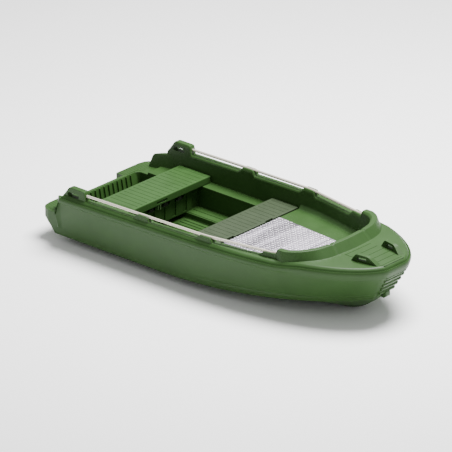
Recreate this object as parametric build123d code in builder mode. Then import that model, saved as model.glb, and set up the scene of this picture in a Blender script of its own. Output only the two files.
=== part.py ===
"""A 3.7 m rotomoulded polyethylene dinghy, in millimetres.

+X runs to the bow, +Y to port and +Z up.  The origin is amidships on the centreline, at the
level of the keel's flat underside, so the boat stands on z = 0.
"""
from math import atan2, cos, degrees, radians, sin
import os

from build123d import *

# ---------------------------------------------------------------- driving dimensions
LENGTH = 3700.0            # overall, along X
BEAM = 1600.0              # over the rubbing band
STEM_X = LENGTH / 2
STERN_X = -LENGTH / 2
SKIN = 8.0                 # polyethylene wall of the double-skinned moulding
FOAM_GAP = 0.5             # between the moulding's inner skin and each foam block

# hull form
FULL_BEAM_X = -300.0       # forward of this the sides close in
BEAM_CURVE_PAST = 25.0     # the beam curve would close this far past the flat bow
CHINE_BEAM = BEAM - 140.0
CHINE_START_X = -500.0     # forward of this the chine closes in
CHINE_END_X = STEM_X - 150.0
CHINE_Z = 70.0
CHINE_RISE = 130.0
KEEL_FLAT = 60.0           # half width of the flat keel
KEEL_LIFT_X = STEM_X - 600.0   # where the keel starts to rise to the stem
STEM_RISE = 470.0
BAND_DEPTH = 75.0          # from the gunwale down to the lower edge of the rubbing band
SHEER_STERN = 505.0        # gunwale height between the rail posts
SHEER_BOW = 542.0
SHOULDER_IN = 45.0         # gunwale's outer edge, inboard of the band
GUNWALE_IN = 115.0         # cockpit wall, inboard of the band
GUNWALE_IN_BOW = 155.0
RUNNER_Y = BEAM / 4
RUNNER_X = (STERN_X + 370.0, 700.0)
RUNNER_W = 44.0

# levels inside
DECK_Z = 315.0             # side ledges and the deck round the engine well
FOREDECK_Z = 380.0
SHELF_Z = 352.0            # seat pads and shelf that carry the middle bench
FLOOR_Z = 100.0
AISLE_Z = 45.0
WELL_HALF = BEAM / 2 - 240.0   # foot well
AISLE_HALF = WELL_HALF - 175.0
BAY_HALF = WELL_HALF - 90.0    # stern bay, aft of the foot well
FOOT_WELL_AFT = STERN_X + 780.0
FOOT_WELL_FWD = 30.0

# stern
TRANSOM_X = STERN_X + 79.0     # transom's outer face at its top
TRANSOM_THICK = 40.0
TRANSOM_HALF = 300.0
TRANSOM_FOOT_X = TRANSOM_X + 71.0
PAD_HALF = 250.0           # raised pad that an outboard clamps to
PAD_FOOT_Z = 115.0
PAD_PROUD = 4.0
PLATFORM_Z = 292.0
PLATFORM_THICK = 58.0
PLATFORM_HALF = BEAM / 2 - 55.0
PLATFORM_CORNER = 120.0
CHINE_AFT_X = STERN_X + 238.0
BLOCK_TOP_Z = 596.0
BLOCK_FWD_X = STERN_X + 585.0
BLOCK_AFT_X = STERN_X + 350.0
BLOCK_FOOT_X = STERN_X + 190.0
HAND_SLOT = (150.0, 46.0)  # length and height of the stern hand holds

# benches
BENCH_TOP_Z = 387.0
AFT_BENCH = (STERN_X + 464.0, STERN_X + 850.0)
MID_BENCH = (-237.0, 83.0)
BENCH_END_GAP = 12.0       # between a bench's end and the cockpit wall
BENCH_SEAT_GAP = 0.5
MID_BENCH_THICK = BENCH_TOP_Z - SHELF_Z - BENCH_SEAT_GAP
BENCH_SKIN = 7.0
BENCH_RIB = 8.0
GROOVE_W = 4.0
GROOVE_D = 1.6
GROOVE_PITCH = 62.0

# handrails
RAIL_R = 12.5
RAIL_WALL = 1.5
RAIL_GAP = 0.3
RAIL_IN = 38.0             # rail's centre, outboard of the cockpit wall
RAIL_ABOVE = 43.0          # rail's centre above the low gunwale
POSTS = (-560.0, 194.0, STEM_X - 978.0)
POST_TOP = 118.0
POST_SLOPE_AFT = 62.0
POST_SLOPE_FWD = 26.0
POST_CHEEK = 5.0           # cheek tops above the rail's centre
COAMING_AFT_X = STEM_X - 895.0
COAMING_FWD_X = STEM_X - 578.0
COAMING_TOP_Z = 638.0
COAMING_HALF = BEAM / 2 - 194.0
COAMING_THICK = 46.0
COAMING_CORNER = 240.0
COAMING_SPREAD = 70.0      # how much further out the coaming's foot stands
COCKPIT_CORNER = 180.0     # plan radius of the cockpit's front corners

# bow
TOW_X, TOW_Z, TOW_R = STEM_X - 160.0, 226.0, 9.0
TOW_LUG = (96.0, 62.0, 70.0)
BUSH_WALL = 3.0
HANDLE_X = (STEM_X - 398.0, STEM_X - 128.0)
HANDLE_Y = (214.0, 168.0)
HANDLE_W = 34.0
HANDLE_H = 62.0

# hinges of the aft bench, on the deck behind it
HINGE_Y = BEAM / 2 - 245.0
HINGE_W = 84.0
LEAF_T = 2.0
LEAF_DEEP = 34.0
PIN_R = 3.0
PIN_GAP = 0.05
KNUCKLE_R = 6.0
KNUCKLE_GAP = 0.4
AXIS_X = AFT_BENCH[0] - 8.0
AXIS_Z = DECK_Z + 8.0

# screws
SCREW_R = 2.4
SCREW_LEN = SKIN - 1.0       # into the moulding's wall
SCREW_HEAD_R = 5.0
SCREW_HEAD_T = 1.6

# locker under the aft bench, and its turn latch
LOCKER = (STERN_X + 474.0, STERN_X + 800.0)
LOCKER_HALF = BAY_HALF - 8.0
LOCKER_WALL = 6.0
LOCKER_RIB = 9.0
LATCH_PIVOT_Z = 255.0
LATCH_LONG = 46.0
LATCH_WIDE = 12.0
LATCH_T = 4.0
LATCH_GAP = 0.6

# chequered plate on the foredeck
PLATE = (101.0, STEM_X - 665.0)
PLATE_HALF = (390.0, 300.0)
PLATE_T = 3.0

# transom board and drain
BOARD_IN = 9.0
BOARD_T = 20.0
BOARD_H = 150.0
BOARD_DOWN = 32.0          # the board's top, below the deck
BOARD_HALF = 270.0
DRAIN_Z = 74.0
DRAIN_X = STERN_X + 160.0
DRAIN_R = 12.0
DRAIN_WALL = 3.0

# lashing eye on the aisle's floor, vent plugs in the foot well's sides
EYE_X = -520.0
EYE_SPAN = 60.0
EYE_R = 4.0
EYE_SCREW = SKIN - 1.0
VENT_X, VENT_Z = -430.0, 150.0
VENT_R = 11.0
VENT_DEEP = 7.0

os.makedirs("parts", exist_ok=True)


def save(builder, name):
    """Label a finished piece and write its STEP file."""
    builder.part.label = name
    export_step(builder.part, f"parts/{name}.step")


def blend(x, start, end):
    """A smooth step from 0 at start to 1 at end."""
    t = min(1.0, max(0.0, (x - start) / (end - start)))
    return t * t * (3 - 2 * t)


# ---------------------------------------------------------------- the hull's curves
def half_beam(x):
    """Half the beam over the rubbing band: full aft, a squared ellipse closing to the bow."""
    if x <= FULL_BEAM_X:
        return BEAM / 2
    t = (x - FULL_BEAM_X) / (STEM_X + BEAM_CURVE_PAST - FULL_BEAM_X)
    return BEAM / 2 * (1 - t ** 2.6) ** 0.5


def chine_half(x):
    """Half the beam at the chine."""
    t = min(1.0, max(0.0, (x - CHINE_START_X) / (CHINE_END_X - CHINE_START_X)))
    return max(KEEL_FLAT + 12.0, CHINE_BEAM / 2 * (1 - t ** 2.6) ** (1 / 1.5))


def sheer(x):
    """Height of the low gunwale, and of the bow deck."""
    return SHEER_STERN + (SHEER_BOW - SHEER_STERN) * blend(x, -2000.0, 600.0)


def keel_z(x):
    """Height of the keel: flat, then rising to the stem."""
    if x <= KEEL_LIFT_X:
        return 0.0
    rise = STEM_RISE * ((x - KEEL_LIFT_X) / (STEM_X - KEEL_LIFT_X)) ** 2.2
    return min(rise, sheer(x) - BAND_DEPTH - 30.0)


def chine_z(x):
    """Height of the chine."""
    if x > TOW_X - 50:
        return keel_z(x) + 14.0
    t = max(0.0, (x - FULL_BEAM_X) / (CHINE_END_X - 50 - FULL_BEAM_X))
    return max(CHINE_Z + CHINE_RISE * t ** 1.6, keel_z(x) + 14.0)


def wall_y(x):
    """Cockpit wall, half width."""
    return half_beam(x) - GUNWALE_IN - (GUNWALE_IN_BOW - GUNWALE_IN) * blend(x, 200.0, 900.0)


def rail_y(x):
    return wall_y(x) + RAIL_IN


def rail_z(x):
    return sheer(x) + RAIL_ABOVE


STATIONS = [STERN_X, BLOCK_AFT_X, -900.0, FULL_BEAM_X, 150.0, 500.0] + [
    STEM_X - back for back in (1050.0, 800.0, 600.0, 450.0, 330.0, 230.0, 150.0, 85.0, 35.0, 0.0)]


def mirrored(points):
    """A closed outline from the points of its port half."""
    return points + [(-y, z) for y, z in reversed(points) if y > 0]


def hull_outline(x):
    """The hull's outer section: keel, chine, side, rubbing band and shoulder."""
    y, z = half_beam(x), sheer(x)
    return mirrored([(KEEL_FLAT, keel_z(x)), (chine_half(x), chine_z(x)), (y - 12, z - BAND_DEPTH),
                     (y - 3, z - 55), (y, z - 38), (y - 7, z - 24), (y - SHOULDER_IN, z)])


def section_face(x, outline):
    """A face square to X from an outline of (y, z) points."""
    with BuildSketch(Plane(origin=(x, 0, 0), x_dir=(0, 1, 0), z_dir=(1, 0, 0))) as sketch:
        with BuildLine():
            Polyline(*outline, close=True)
        make_face()
    return sketch.sketch


def profile_xz(points, half_width):
    """A solid from a closed (x, z) outline, half_width either side of the centreline."""
    with BuildPart(mode=Mode.PRIVATE) as solid:
        with BuildSketch(Plane.XZ):
            with BuildLine():
                Polyline(*points, close=True)
            make_face()
        extrude(amount=half_width, both=True)
    return solid.part


def plan_outline(aft_x, fwd_x, corner):
    """Half of a plan outline that follows the cockpit wall to a rounded front."""
    count = 9
    xs = [aft_x + (fwd_x - corner - aft_x) * i / count for i in range(count + 1)]
    points = [(x, wall_y(x)) for x in xs]
    last_y = points[-1][1]
    arc = [radians(a) for a in range(15, 91, 15)]
    points += [(fwd_x - corner + corner * sin(a), last_y - corner * (1 - cos(a))) for a in arc]
    return points


def plan_solid(half, bottom, top):
    """A prism over a plan outline and its mirror image."""
    outline = half + [(x, -y) for x, y in reversed(half)]
    with BuildPart(mode=Mode.PRIVATE) as solid:
        with BuildSketch(Plane.XY.offset(bottom)):
            with BuildLine():
                Polyline(*outline, close=True)
            make_face()
        extrude(amount=top - bottom)
    return solid.part


def block(x_span, y_span, z_span):
    """A plain box between two corners."""
    (x0, x1), (y0, y1), (z0, z1) = x_span, y_span, z_span
    with BuildPart(mode=Mode.PRIVATE) as solid:
        with BuildSketch(Plane.XY.offset(z0)):
            with Locations(((x0 + x1) / 2, (y0 + y1) / 2)):
                Rectangle(x1 - x0, y1 - y0)
        extrude(amount=z1 - z0)
    return solid.part


# ---------------------------------------------------------------- buoyancy foam
def bottom_z(x, y):
    """Height of the hull's outer bottom at a half width y."""
    out = chine_half(x)
    t = max(0.0, min(1.0, (y - KEEL_FLAT) / (out - KEEL_FLAT)))
    return keel_z(x) + (chine_z(x) - keel_z(x)) * t


def side_y(x, z):
    """Half width of the topside at a height z, between the chine and the band."""
    low, high = chine_z(x), sheer(x) - BAND_DEPTH
    t = max(0.0, min(1.0, (z - low) / (high - low)))
    return chine_half(x) + (half_beam(x) - 12 - chine_half(x)) * t


def bilge_foam(x_span, well_half, gap):
    """Port block round the bilge: under the side floor and up behind the well's wall."""
    faces = []
    low_y, wall = AISLE_HALF + SKIN + gap, well_half + SKIN + gap
    top, shelf = DECK_Z - SKIN - gap, FLOOR_Z - SKIN - gap
    for x in (x_span[0] + gap, (x_span[0] + x_span[1]) / 2, x_span[1] - gap):
        out = chine_half(x) - SKIN - gap
        faces.append(section_face(x, [(low_y, bottom_z(x, low_y) + SKIN + gap),
                                      (out, bottom_z(x, out) + SKIN + gap),
                                      (side_y(x, top) - SKIN - gap, top), (wall, top),
                                      (wall, shelf), (low_y, shelf)]))
    return loft(faces, ruled=True)


def side_foam(gap):
    return bilge_foam((FOOT_WELL_AFT + SKIN, FOOT_WELL_FWD - 40 - SKIN), WELL_HALF, gap)


def quarter_foam(gap):
    return bilge_foam((CHINE_AFT_X + 12, FOOT_WELL_AFT - SKIN), BAY_HALF, gap)


def gunwale_foam(gap):
    """Port block high in the side, behind the cockpit wall."""
    faces = []
    fwd_x = COAMING_AFT_X - 105 - gap
    for x in (BLOCK_FWD_X + 85 + gap, FULL_BEAM_X, 100.0, 400.0, fwd_x - 200, fwd_x):
        low, knee = FOREDECK_Z - 20 + gap, sheer(x) - BAND_DEPTH
        top = sheer(x) - SKIN - gap
        inner, out = wall_y(x) + SKIN + gap, half_beam(x) - 12 - SKIN - gap
        faces.append(section_face(x, [(inner, low), (side_y(x, low) - SKIN - gap, low),
                                      (out, knee), (out - 4, knee + 30),
                                      (half_beam(x) - SHOULDER_IN - gap, top), (inner, top)]))
    return loft(faces, ruled=True)


def keel_foam(gap):
    """Thin block between the keel and the aisle's floor."""
    x0, x1 = CHINE_AFT_X + 12 + gap, FOOT_WELL_FWD - 60 - gap
    half, top = 0.7 * AISLE_HALF - gap, AISLE_Z - SKIN - gap
    outline = mirrored([(KEEL_FLAT, SKIN + gap), (half, bottom_z(x0, half) + SKIN + gap),
                        (half, top)])
    return loft([section_face(x0, outline), section_face(x1, outline)], ruled=True)


def foredeck_foam(gap):
    """Block under the foredeck, from the foot well's front wall to the coaming."""
    faces = []
    fwd_x = COAMING_FWD_X - 72 - gap
    for x in (FOOT_WELL_FWD + 12 + gap, 350.0, 700.0, fwd_x - 200, fwd_x):
        top, out = FOREDECK_Z - 32 - gap, chine_half(x) - SKIN - gap
        faces.append(section_face(x, mirrored([(KEEL_FLAT, keel_z(x) + SKIN + gap),
                                               (out, bottom_z(x, out) + SKIN + gap),
                                               (side_y(x, top) - SKIN - gap, top)])))
    return loft(faces, ruled=True)


def bow_foam(gap):
    """Block under the bow deck."""
    faces = []
    aft_x, fwd_x = COAMING_FWD_X + 13 + gap, TOW_X - 70 - gap
    for x in (aft_x, aft_x + 115, fwd_x - 100, fwd_x):
        out = max(chine_half(x) - 14 - gap, KEEL_FLAT)
        faces.append(section_face(x, mirrored([(KEEL_FLAT - 20, keel_z(x) + 12 + gap),
                                               (out, chine_z(x) + 14 + gap),
                                               (half_beam(x) - 26 - gap, sheer(x) - BAND_DEPTH),
                                               (half_beam(x) - 56 - gap, sheer(x) - SKIN - gap)])))
    return loft(faces, ruled=True)


# ---------------------------------------------------------------- hull moulding
def rail_path(side):
    """Centre line of a handrail: straight runs with tangent arcs at its posts."""
    xs = (BLOCK_FWD_X - 25,) + POSTS + (COAMING_AFT_X + 25,)
    points = [(x, side * rail_y(x), rail_z(x)) for x in xs]
    points[-1] = (xs[-1], side * (rail_y(xs[-1]) - 4), rail_z(xs[-1]) + 14)
    return FilletPolyline(*points, radius=(900, 900, 90))


def rail_slot(side):
    """The channel that a handrail lies in, open at the top."""
    with BuildPart(mode=Mode.PRIVATE) as slot:
        with BuildLine() as path:
            rail_path(side)
        with BuildSketch(Plane(path.line @ 0, x_dir=(0, 1, 0), z_dir=path.line % 0)):
            Circle(RAIL_R + RAIL_GAP)
        sweep(path=path.line)
    return slot.part


def post(x, side):
    """A moulded trapezoid post that carries the handrail."""
    base, top = sheer(x) - 12, rail_z(x) + POST_CHEEK
    half = POST_TOP / 2
    outline = [(x - half - POST_SLOPE_AFT, base), (x - half, top), (x + half, top),
               (x + half + POST_SLOPE_FWD, base)]
    with BuildPart(mode=Mode.PRIVATE) as solid:
        with BuildSketch(Plane.XZ.offset(-side * rail_y(x))):
            with BuildLine():
                Polyline(*outline, close=True)
            make_face()
        extrude(amount=29, both=True)
    return solid.part


def stern_block(side):
    """A quarter block: its sloping end, its top and the lump that turns inboard."""
    inner, outer = wall_y(STERN_X), BEAM / 2 - SHOULDER_IN + 6
    outline = [(BLOCK_FWD_X, SHEER_STERN - 20), (BLOCK_FWD_X - 8, BLOCK_TOP_Z - 12),
               (BLOCK_AFT_X + 80, BLOCK_TOP_Z), (BLOCK_AFT_X, BLOCK_TOP_Z),
               (BLOCK_AFT_X - 75, BLOCK_TOP_Z - 110), (BLOCK_FOOT_X, PLATFORM_Z - 5),
               (BLOCK_FOOT_X + 200, PLATFORM_Z - 5), (BLOCK_FOOT_X + 210, SHEER_STERN - 20)]
    with BuildPart(mode=Mode.PRIVATE) as solid:
        with BuildSketch(Plane.XZ.offset(-side * (inner + outer) / 2)):
            with BuildLine():
                Polyline(*outline, close=True)
            make_face()
        extrude(amount=(outer - inner) / 2, both=True)
        lump = [(BLOCK_AFT_X, outer - 41), (BLOCK_AFT_X - 45, outer - 71),
                (BLOCK_FOOT_X + 10, outer - 181), (BLOCK_FOOT_X - 95, outer - 169),
                (BLOCK_FOOT_X - 82, outer - 121), (BLOCK_FOOT_X - 30, outer - 26)]
        with BuildSketch(Plane.XY.offset(PLATFORM_Z - 5)):
            with BuildLine():
                Polyline(*[(x, side * y) for x, y in lump], close=True)
            make_face()
        extrude(amount=140, taper=6)
        with BuildSketch(Plane.XZ.offset(-side * outer)):
            with Locations(((BLOCK_AFT_X + BLOCK_FWD_X) / 2 - 50, SHEER_STERN + 18)):
                SlotOverall(*HAND_SLOT)
        extrude(amount=2 * (outer - inner), both=True, mode=Mode.SUBTRACT)
    return solid.part


def coaming():
    """The raised breakwater round the front of the cockpit, before the cockpit is cut."""
    def half(spread):
        x_end, y_end = COAMING_FWD_X + spread, COAMING_HALF + spread * 0.4
        arc = [radians(a) for a in range(0, 91, 15)]
        r = COAMING_CORNER
        return [(COAMING_AFT_X, y_end)] + [
            (x_end - r + r * sin(a), y_end - 40 - r * (1 - cos(a)) + 40 * cos(a)) for a in arc]

    faces = []
    for z, spread in ((SHEER_BOW - 20, COAMING_SPREAD), (COAMING_TOP_Z, 0.0)):
        points = half(spread)
        outline = points + [(x, -y) for x, y in reversed(points)]
        with BuildSketch(Plane.XY.offset(z)) as sketch:
            with BuildLine():
                Polyline(*outline, close=True)
            make_face()
        faces.append(sketch.sketch)
    return loft(faces, ruled=True)


def bow_handle(side):
    """A wedge-shaped carrying handle on the bow deck, with its finger slot."""
    (x0, x1), (y0, y1) = HANDLE_X, HANDLE_Y
    base = sheer(x0) - 12
    outline = [(x0, base), (x0 + 75, base + HANDLE_H), (x1 - 55, base + HANDLE_H - 4), (x1, base)]
    with BuildPart(mode=Mode.PRIVATE) as solid:
        with BuildSketch(Plane.XZ):
            with BuildLine():
                Polyline(*outline, close=True)
            make_face()
        extrude(amount=HANDLE_W / 2, both=True)
        with BuildSketch(Plane.XZ):
            with Locations(((x0 + x1) / 2, base + 33)):
                SlotOverall(118, 24)
        extrude(amount=HANDLE_W, both=True, mode=Mode.SUBTRACT)
    turn = degrees(atan2(y1 - y0, x1 - x0))
    centre = ((x0 + x1) / 2, side * (y0 + y1) / 2, 0)
    return Pos(*centre) * Rot(0, 0, side * turn) * Pos(-centre[0], 0, 0) * solid.part


def both_sides(piece):
    """A port piece and its starboard mirror image."""
    return [piece, mirror(piece, about=Plane.XZ)]


def platform_underside(side):
    """The concave underside of a stern platform, swept up from the chine."""
    under = PLATFORM_Z - PLATFORM_THICK
    with BuildPart(mode=Mode.PRIVATE) as solid:
        with BuildSketch(Plane.XZ.offset(-side * (BEAM + TRANSOM_HALF) / 2)):
            with BuildLine():
                Polyline((CHINE_AFT_X, -5), (STERN_X - 5, -5), (STERN_X - 5, under))
                Spline((STERN_X - 5, under), (STERN_X + 60, under - 28),
                       (STERN_X + 150, under - 90), (CHINE_AFT_X - 12, CHINE_Z + 12),
                       (CHINE_AFT_X, -5))
            make_face()
        extrude(amount=(BEAM - TRANSOM_HALF) / 2, both=True)
    return solid.part


def platform_corner(side):
    """What is cut away outboard of a stern platform and round its corner."""
    outline = [(STERN_X - 5, side * (PLATFORM_HALF - PLATFORM_CORNER)),
               (STERN_X + 20, side * (PLATFORM_HALF - 45)),
               (STERN_X + 70, side * (PLATFORM_HALF - 8)), (STERN_X + 130, side * PLATFORM_HALF),
               (BLOCK_FOOT_X, side * PLATFORM_HALF), (BLOCK_FOOT_X, side * BEAM),
               (STERN_X - 5, side * BEAM)]
    with BuildPart(mode=Mode.PRIVATE) as solid:
        with BuildSketch(Plane.XY):
            with BuildLine():
                Polyline(*outline, close=True)
            make_face()
        extrude(amount=BLOCK_TOP_Z)
    return solid.part


def transom_gap(depth):
    """The space aft of the raked transom, cut depth further into it than the pad's face."""
    return profile_xz([(TRANSOM_X + depth, DECK_Z + 10), (TRANSOM_FOOT_X + depth, -5),
                       (STERN_X - 5, -5), (STERN_X - 5, DECK_Z + 10)], TRANSOM_HALF)


def transom_relief():
    """What is cut back all round the outboard's pad."""
    pad = block((STERN_X, TRANSOM_FOOT_X + 2 * PAD_PROUD), (-PAD_HALF, PAD_HALF), (PAD_FOOT_Z, HIGH))
    with BuildPart(mode=Mode.PRIVATE) as solid:
        add(transom_gap(PAD_PROUD))
        add(pad, mode=Mode.SUBTRACT)
    return solid.part


def board_solid():
    """The plywood board's place inside the transom, raked with it."""
    top, foot = DECK_Z - BOARD_DOWN, DECK_Z - BOARD_DOWN - BOARD_H
    near, lean = TRANSOM_X + BOARD_IN, TRANSOM_RAKE * BOARD_H
    return profile_xz([(near, top), (near + BOARD_T, top), (near + BOARD_T + lean, foot),
                       (near + lean, foot)], BOARD_HALF)


def leaf_screw_places():
    """Screws through the hinges' deck leaves: two a leaf."""
    return [(AXIS_X - 0.62 * LEAF_DEEP, side * HINGE_Y + dy)
            for side in (-1, 1) for dy in (-0.3 * HINGE_W, 0.3 * HINGE_W)]


def plate_half(x):
    """Half width of the tread plate."""
    t = (x - PLATE[0]) / (PLATE[1] - PLATE[0])
    return PLATE_HALF[0] + (PLATE_HALF[1] - PLATE_HALF[0]) * t


def plate_screw_places():
    """Screws down the tread plate's two edges."""
    count = 4
    xs = [PLATE[0] + 40 + (PLATE[1] - PLATE[0] - 120) * i / (count - 1) for i in range(count)]
    return [(x, side * (plate_half(x) - 24)) for x in xs for side in (-1, 1)]


TRANSOM_IN_X = TRANSOM_X + TRANSOM_THICK          # transom's inner face at its top
TRANSOM_RAKE = (TRANSOM_FOOT_X - TRANSOM_X) / DECK_Z
HIGH = COAMING_TOP_Z + 60                         # over everything, for cuts
SHELF_AFT_X = MID_BENCH[0] - 26
SHELF_FWD_X = MID_BENCH[1] + 7
quarter_half = wall_y(STERN_X)
shelf_half = wall_y(SHELF_FWD_X)

sections = [section_face(x, hull_outline(x)) for x in STATIONS]
runners = [block(RUNNER_X, (side * RUNNER_Y - RUNNER_W / 2, side * RUNNER_Y + RUNNER_W / 2),
                 (0, CHINE_Z)) for side in (-1, 1)]
stern_cuts = [profile_xz([(STERN_X - 10, PLATFORM_Z), (BLOCK_FOOT_X, PLATFORM_Z),
                          (BLOCK_AFT_X - 75, BLOCK_TOP_Z - 110), (BLOCK_AFT_X - 75, HIGH),
                          (STERN_X - 10, HIGH)], BEAM),
              block((STERN_X - 10, BLOCK_AFT_X), (-quarter_half, quarter_half), (DECK_Z, HIGH)),
              transom_gap(0), transom_relief()]
cockpit = plan_outline(BLOCK_AFT_X, COAMING_FWD_X - COAMING_THICK, COCKPIT_CORNER)
well_cuts = [
    plan_solid(cockpit, FOREDECK_Z, HIGH),
    block((BLOCK_AFT_X - 30, SHELF_AFT_X), (-quarter_half, quarter_half), (DECK_Z, HIGH)),
    block((SHELF_AFT_X - 1, SHELF_FWD_X), (-shelf_half, shelf_half), (SHELF_Z, HIGH)),
    block((FOOT_WELL_AFT, FOOT_WELL_FWD), (-WELL_HALF, WELL_HALF), (FLOOR_Z, FOREDECK_Z)),
    profile_xz([(TRANSOM_IN_X, DECK_Z + 1), (FOOT_WELL_AFT + 1, DECK_Z + 1),
                (FOOT_WELL_AFT + 1, FLOOR_Z),
                (TRANSOM_IN_X + TRANSOM_RAKE * (DECK_Z - FLOOR_Z), FLOOR_Z)], BAY_HALF),
    block((TRANSOM_IN_X + 80, FOOT_WELL_FWD - 40), (-AISLE_HALF, AISLE_HALF),
          (AISLE_Z, FLOOR_Z + 1))]
hollows = both_sides(side_foam(0)) + both_sides(gunwale_foam(0)) + both_sides(quarter_foam(0))
hollows += [keel_foam(0), foredeck_foam(0), bow_foam(0)]
raised = [coaming()]
for side in (-1, 1):
    raised += [post(x, side) for x in POSTS] + [stern_block(side), bow_handle(side)]
    stern_cuts += [platform_underside(side), platform_corner(side)]
raised.append(block((TOW_X - TOW_LUG[0] / 2, TOW_X + TOW_LUG[0] / 2),
                    (-TOW_LUG[1] / 2, TOW_LUG[1] / 2), (TOW_Z - 30, TOW_Z - 30 + TOW_LUG[2])))
channels = [rail_slot(side) for side in (-1, 1)]

# bores and seats for what is fastened to the moulding
fastener_holes = [Pos(x, y, DECK_Z - SCREW_LEN / 2 + 1) * Cylinder(SCREW_R, SCREW_LEN + 2)
                  for x, y in leaf_screw_places()]
fastener_holes += [Pos(x, y, FOREDECK_Z - SCREW_LEN / 2 + 1) * Cylinder(SCREW_R, SCREW_LEN + 2)
                   for x, y in plate_screw_places()]
fastener_holes += [Pos(EYE_X + side * EYE_SPAN / 2, 0, AISLE_Z - EYE_SCREW / 2 + 1)
                   * Cylinder(EYE_R, EYE_SCREW + 2) for side in (-1, 1)]
fastener_holes += [Pos(0, side * (WELL_HALF + VENT_DEEP / 2 - 1), 0)
                   * Location((VENT_X, 0, VENT_Z), (90, 0, 0)) * Cylinder(VENT_R, VENT_DEEP + 2)
                   for side in (-1, 1)]
drain_axis = Location((DRAIN_X, 0, DRAIN_Z), (0, 90, 0))
fastener_holes.append(drain_axis * Cylinder(DRAIN_R + DRAIN_WALL, 160))
board_pocket = board_solid()

with BuildPart() as hull_moulding:
    loft(sections, ruled=True)
    add(runners)
    add(stern_cuts, mode=Mode.SUBTRACT)
    add(raised)
    add(well_cuts + hollows + channels + fastener_holes + [board_pocket], mode=Mode.SUBTRACT)
    with Locations(Location((TOW_X, 0, TOW_Z), (90, 0, 0))):
        Cylinder(TOW_R + BUSH_WALL, TOW_LUG[1] + 60, mode=Mode.SUBTRACT)
save(hull_moulding, "hull_moulding")


# ---------------------------------------------------------------- foam, board and fixed trim
for name, make in (("side_foam", side_foam), ("gunwale_foam", gunwale_foam),
                   ("quarter_foam", quarter_foam)):
    port_block = make(FOAM_GAP)
    for prefix, shape in (("port", port_block), ("starboard", mirror(port_block, about=Plane.XZ))):
        with BuildPart() as foam:
            add(shape)
        save(foam, f"{prefix}_{name}")
for name, make in (("keel_foam", keel_foam), ("foredeck_foam", foredeck_foam),
                   ("bow_foam", bow_foam)):
    with BuildPart() as foam:
        add(make(FOAM_GAP))
    save(foam, name)

with BuildPart() as transom_board:
    add(board_pocket)
    offset(amount=-FOAM_GAP)
save(transom_board, "transom_board")

for side, name in ((1, "port_handrail"), (-1, "starboard_handrail")):
    with BuildPart() as handrail:
        with BuildLine() as route:
            rail_path(side)
        with BuildSketch(Plane(route.line @ 0, x_dir=(0, 1, 0), z_dir=route.line % 0)):
            Circle(RAIL_R)
            Circle(RAIL_R - RAIL_WALL, mode=Mode.SUBTRACT)
        sweep(path=route.line)
    save(handrail, name)

with BuildPart() as tow_eye_bush:
    with Locations(Location((TOW_X, 0, TOW_Z), (90, 0, 0))):
        Cylinder(TOW_R + BUSH_WALL, TOW_LUG[1])
        Cylinder(TOW_R, TOW_LUG[1], mode=Mode.SUBTRACT)
save(tow_eye_bush, "tow_eye_bush")

with BuildPart() as tread_plate:
    with BuildSketch(Plane.XY.offset(FOREDECK_Z)):
        with BuildLine():
            near, far = PLATE_HALF
            Polyline((PLATE[0], -near), (PLATE[1], -far), (PLATE[1], far), (PLATE[0], near),
                     close=True)
        make_face()
    extrude(amount=PLATE_T)
    with Locations(*[(x, y, FOREDECK_Z + PLATE_T) for x, y in plate_screw_places()]):
        Hole(SCREW_R)
save(tread_plate, "tread_plate")


def screw_group(places, seat_z, grip):
    """Pan-head screws standing in the moulding through a piece of thickness grip."""
    with BuildPart() as group:
        with Locations(*[(x, y, seat_z + grip) for x, y in places]):
            Cylinder(SCREW_HEAD_R, SCREW_HEAD_T, align=(Align.CENTER, Align.CENTER, Align.MIN))
        with Locations(*[(x, y, seat_z - SCREW_LEN) for x, y in places]):
            Cylinder(SCREW_R - 0.02, SCREW_LEN + grip, align=(Align.CENTER, Align.CENTER, Align.MIN))
    return group


save(screw_group(plate_screw_places(), FOREDECK_Z, PLATE_T), "tread_plate_screws")
save(screw_group(leaf_screw_places(), DECK_Z, LEAF_T), "hinge_screws")

with BuildPart() as floor_lashing_eye:
    with BuildLine(Plane.XZ) as bow_line:
        x0, x1, rise = EYE_X - EYE_SPAN / 2, EYE_X + EYE_SPAN / 2, 36.0
        FilletPolyline((x0, AISLE_Z - EYE_SCREW), (x0, AISLE_Z + rise), (x1, AISLE_Z + rise),
                       (x1, AISLE_Z - EYE_SCREW), radius=18)
    with BuildSketch(Plane(bow_line.line @ 0, x_dir=(0, 1, 0), z_dir=bow_line.line % 0)):
        Circle(EYE_R - 0.02)
    sweep(path=bow_line.line)
    with Locations(*[(x, 0, AISLE_Z) for x in (x0, x1)]):
        Cylinder(EYE_R + 8, 2, align=(Align.CENTER, Align.CENTER, Align.MIN))
save(floor_lashing_eye, "floor_lashing_eye")

with BuildPart() as vent_plugs:
    for side in (-1, 1):
        with Locations(Location((VENT_X, side * (WELL_HALF + VENT_DEEP / 2), VENT_Z), (90, 0, 0))):
            Cylinder(VENT_R - 0.02, VENT_DEEP - 0.5)
save(vent_plugs, "vent_plugs")

with BuildPart() as drain_tube:
    with Locations(drain_axis):
        Cylinder(DRAIN_R + DRAIN_WALL, 74)
        Cylinder(DRAIN_R, 74, mode=Mode.SUBTRACT)
save(drain_tube, "drain_tube")

with BuildPart() as drain_bung:
    with Locations(Location((DRAIN_X - 37, 0, DRAIN_Z), (0, -90, 0))):
        Cylinder(DRAIN_R - 0.3, 24, align=(Align.CENTER, Align.CENTER, Align.MAX))
        Cylinder(DRAIN_R + 8, 6, align=(Align.CENTER, Align.CENTER, Align.MIN))
save(drain_bung, "drain_bung")

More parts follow.
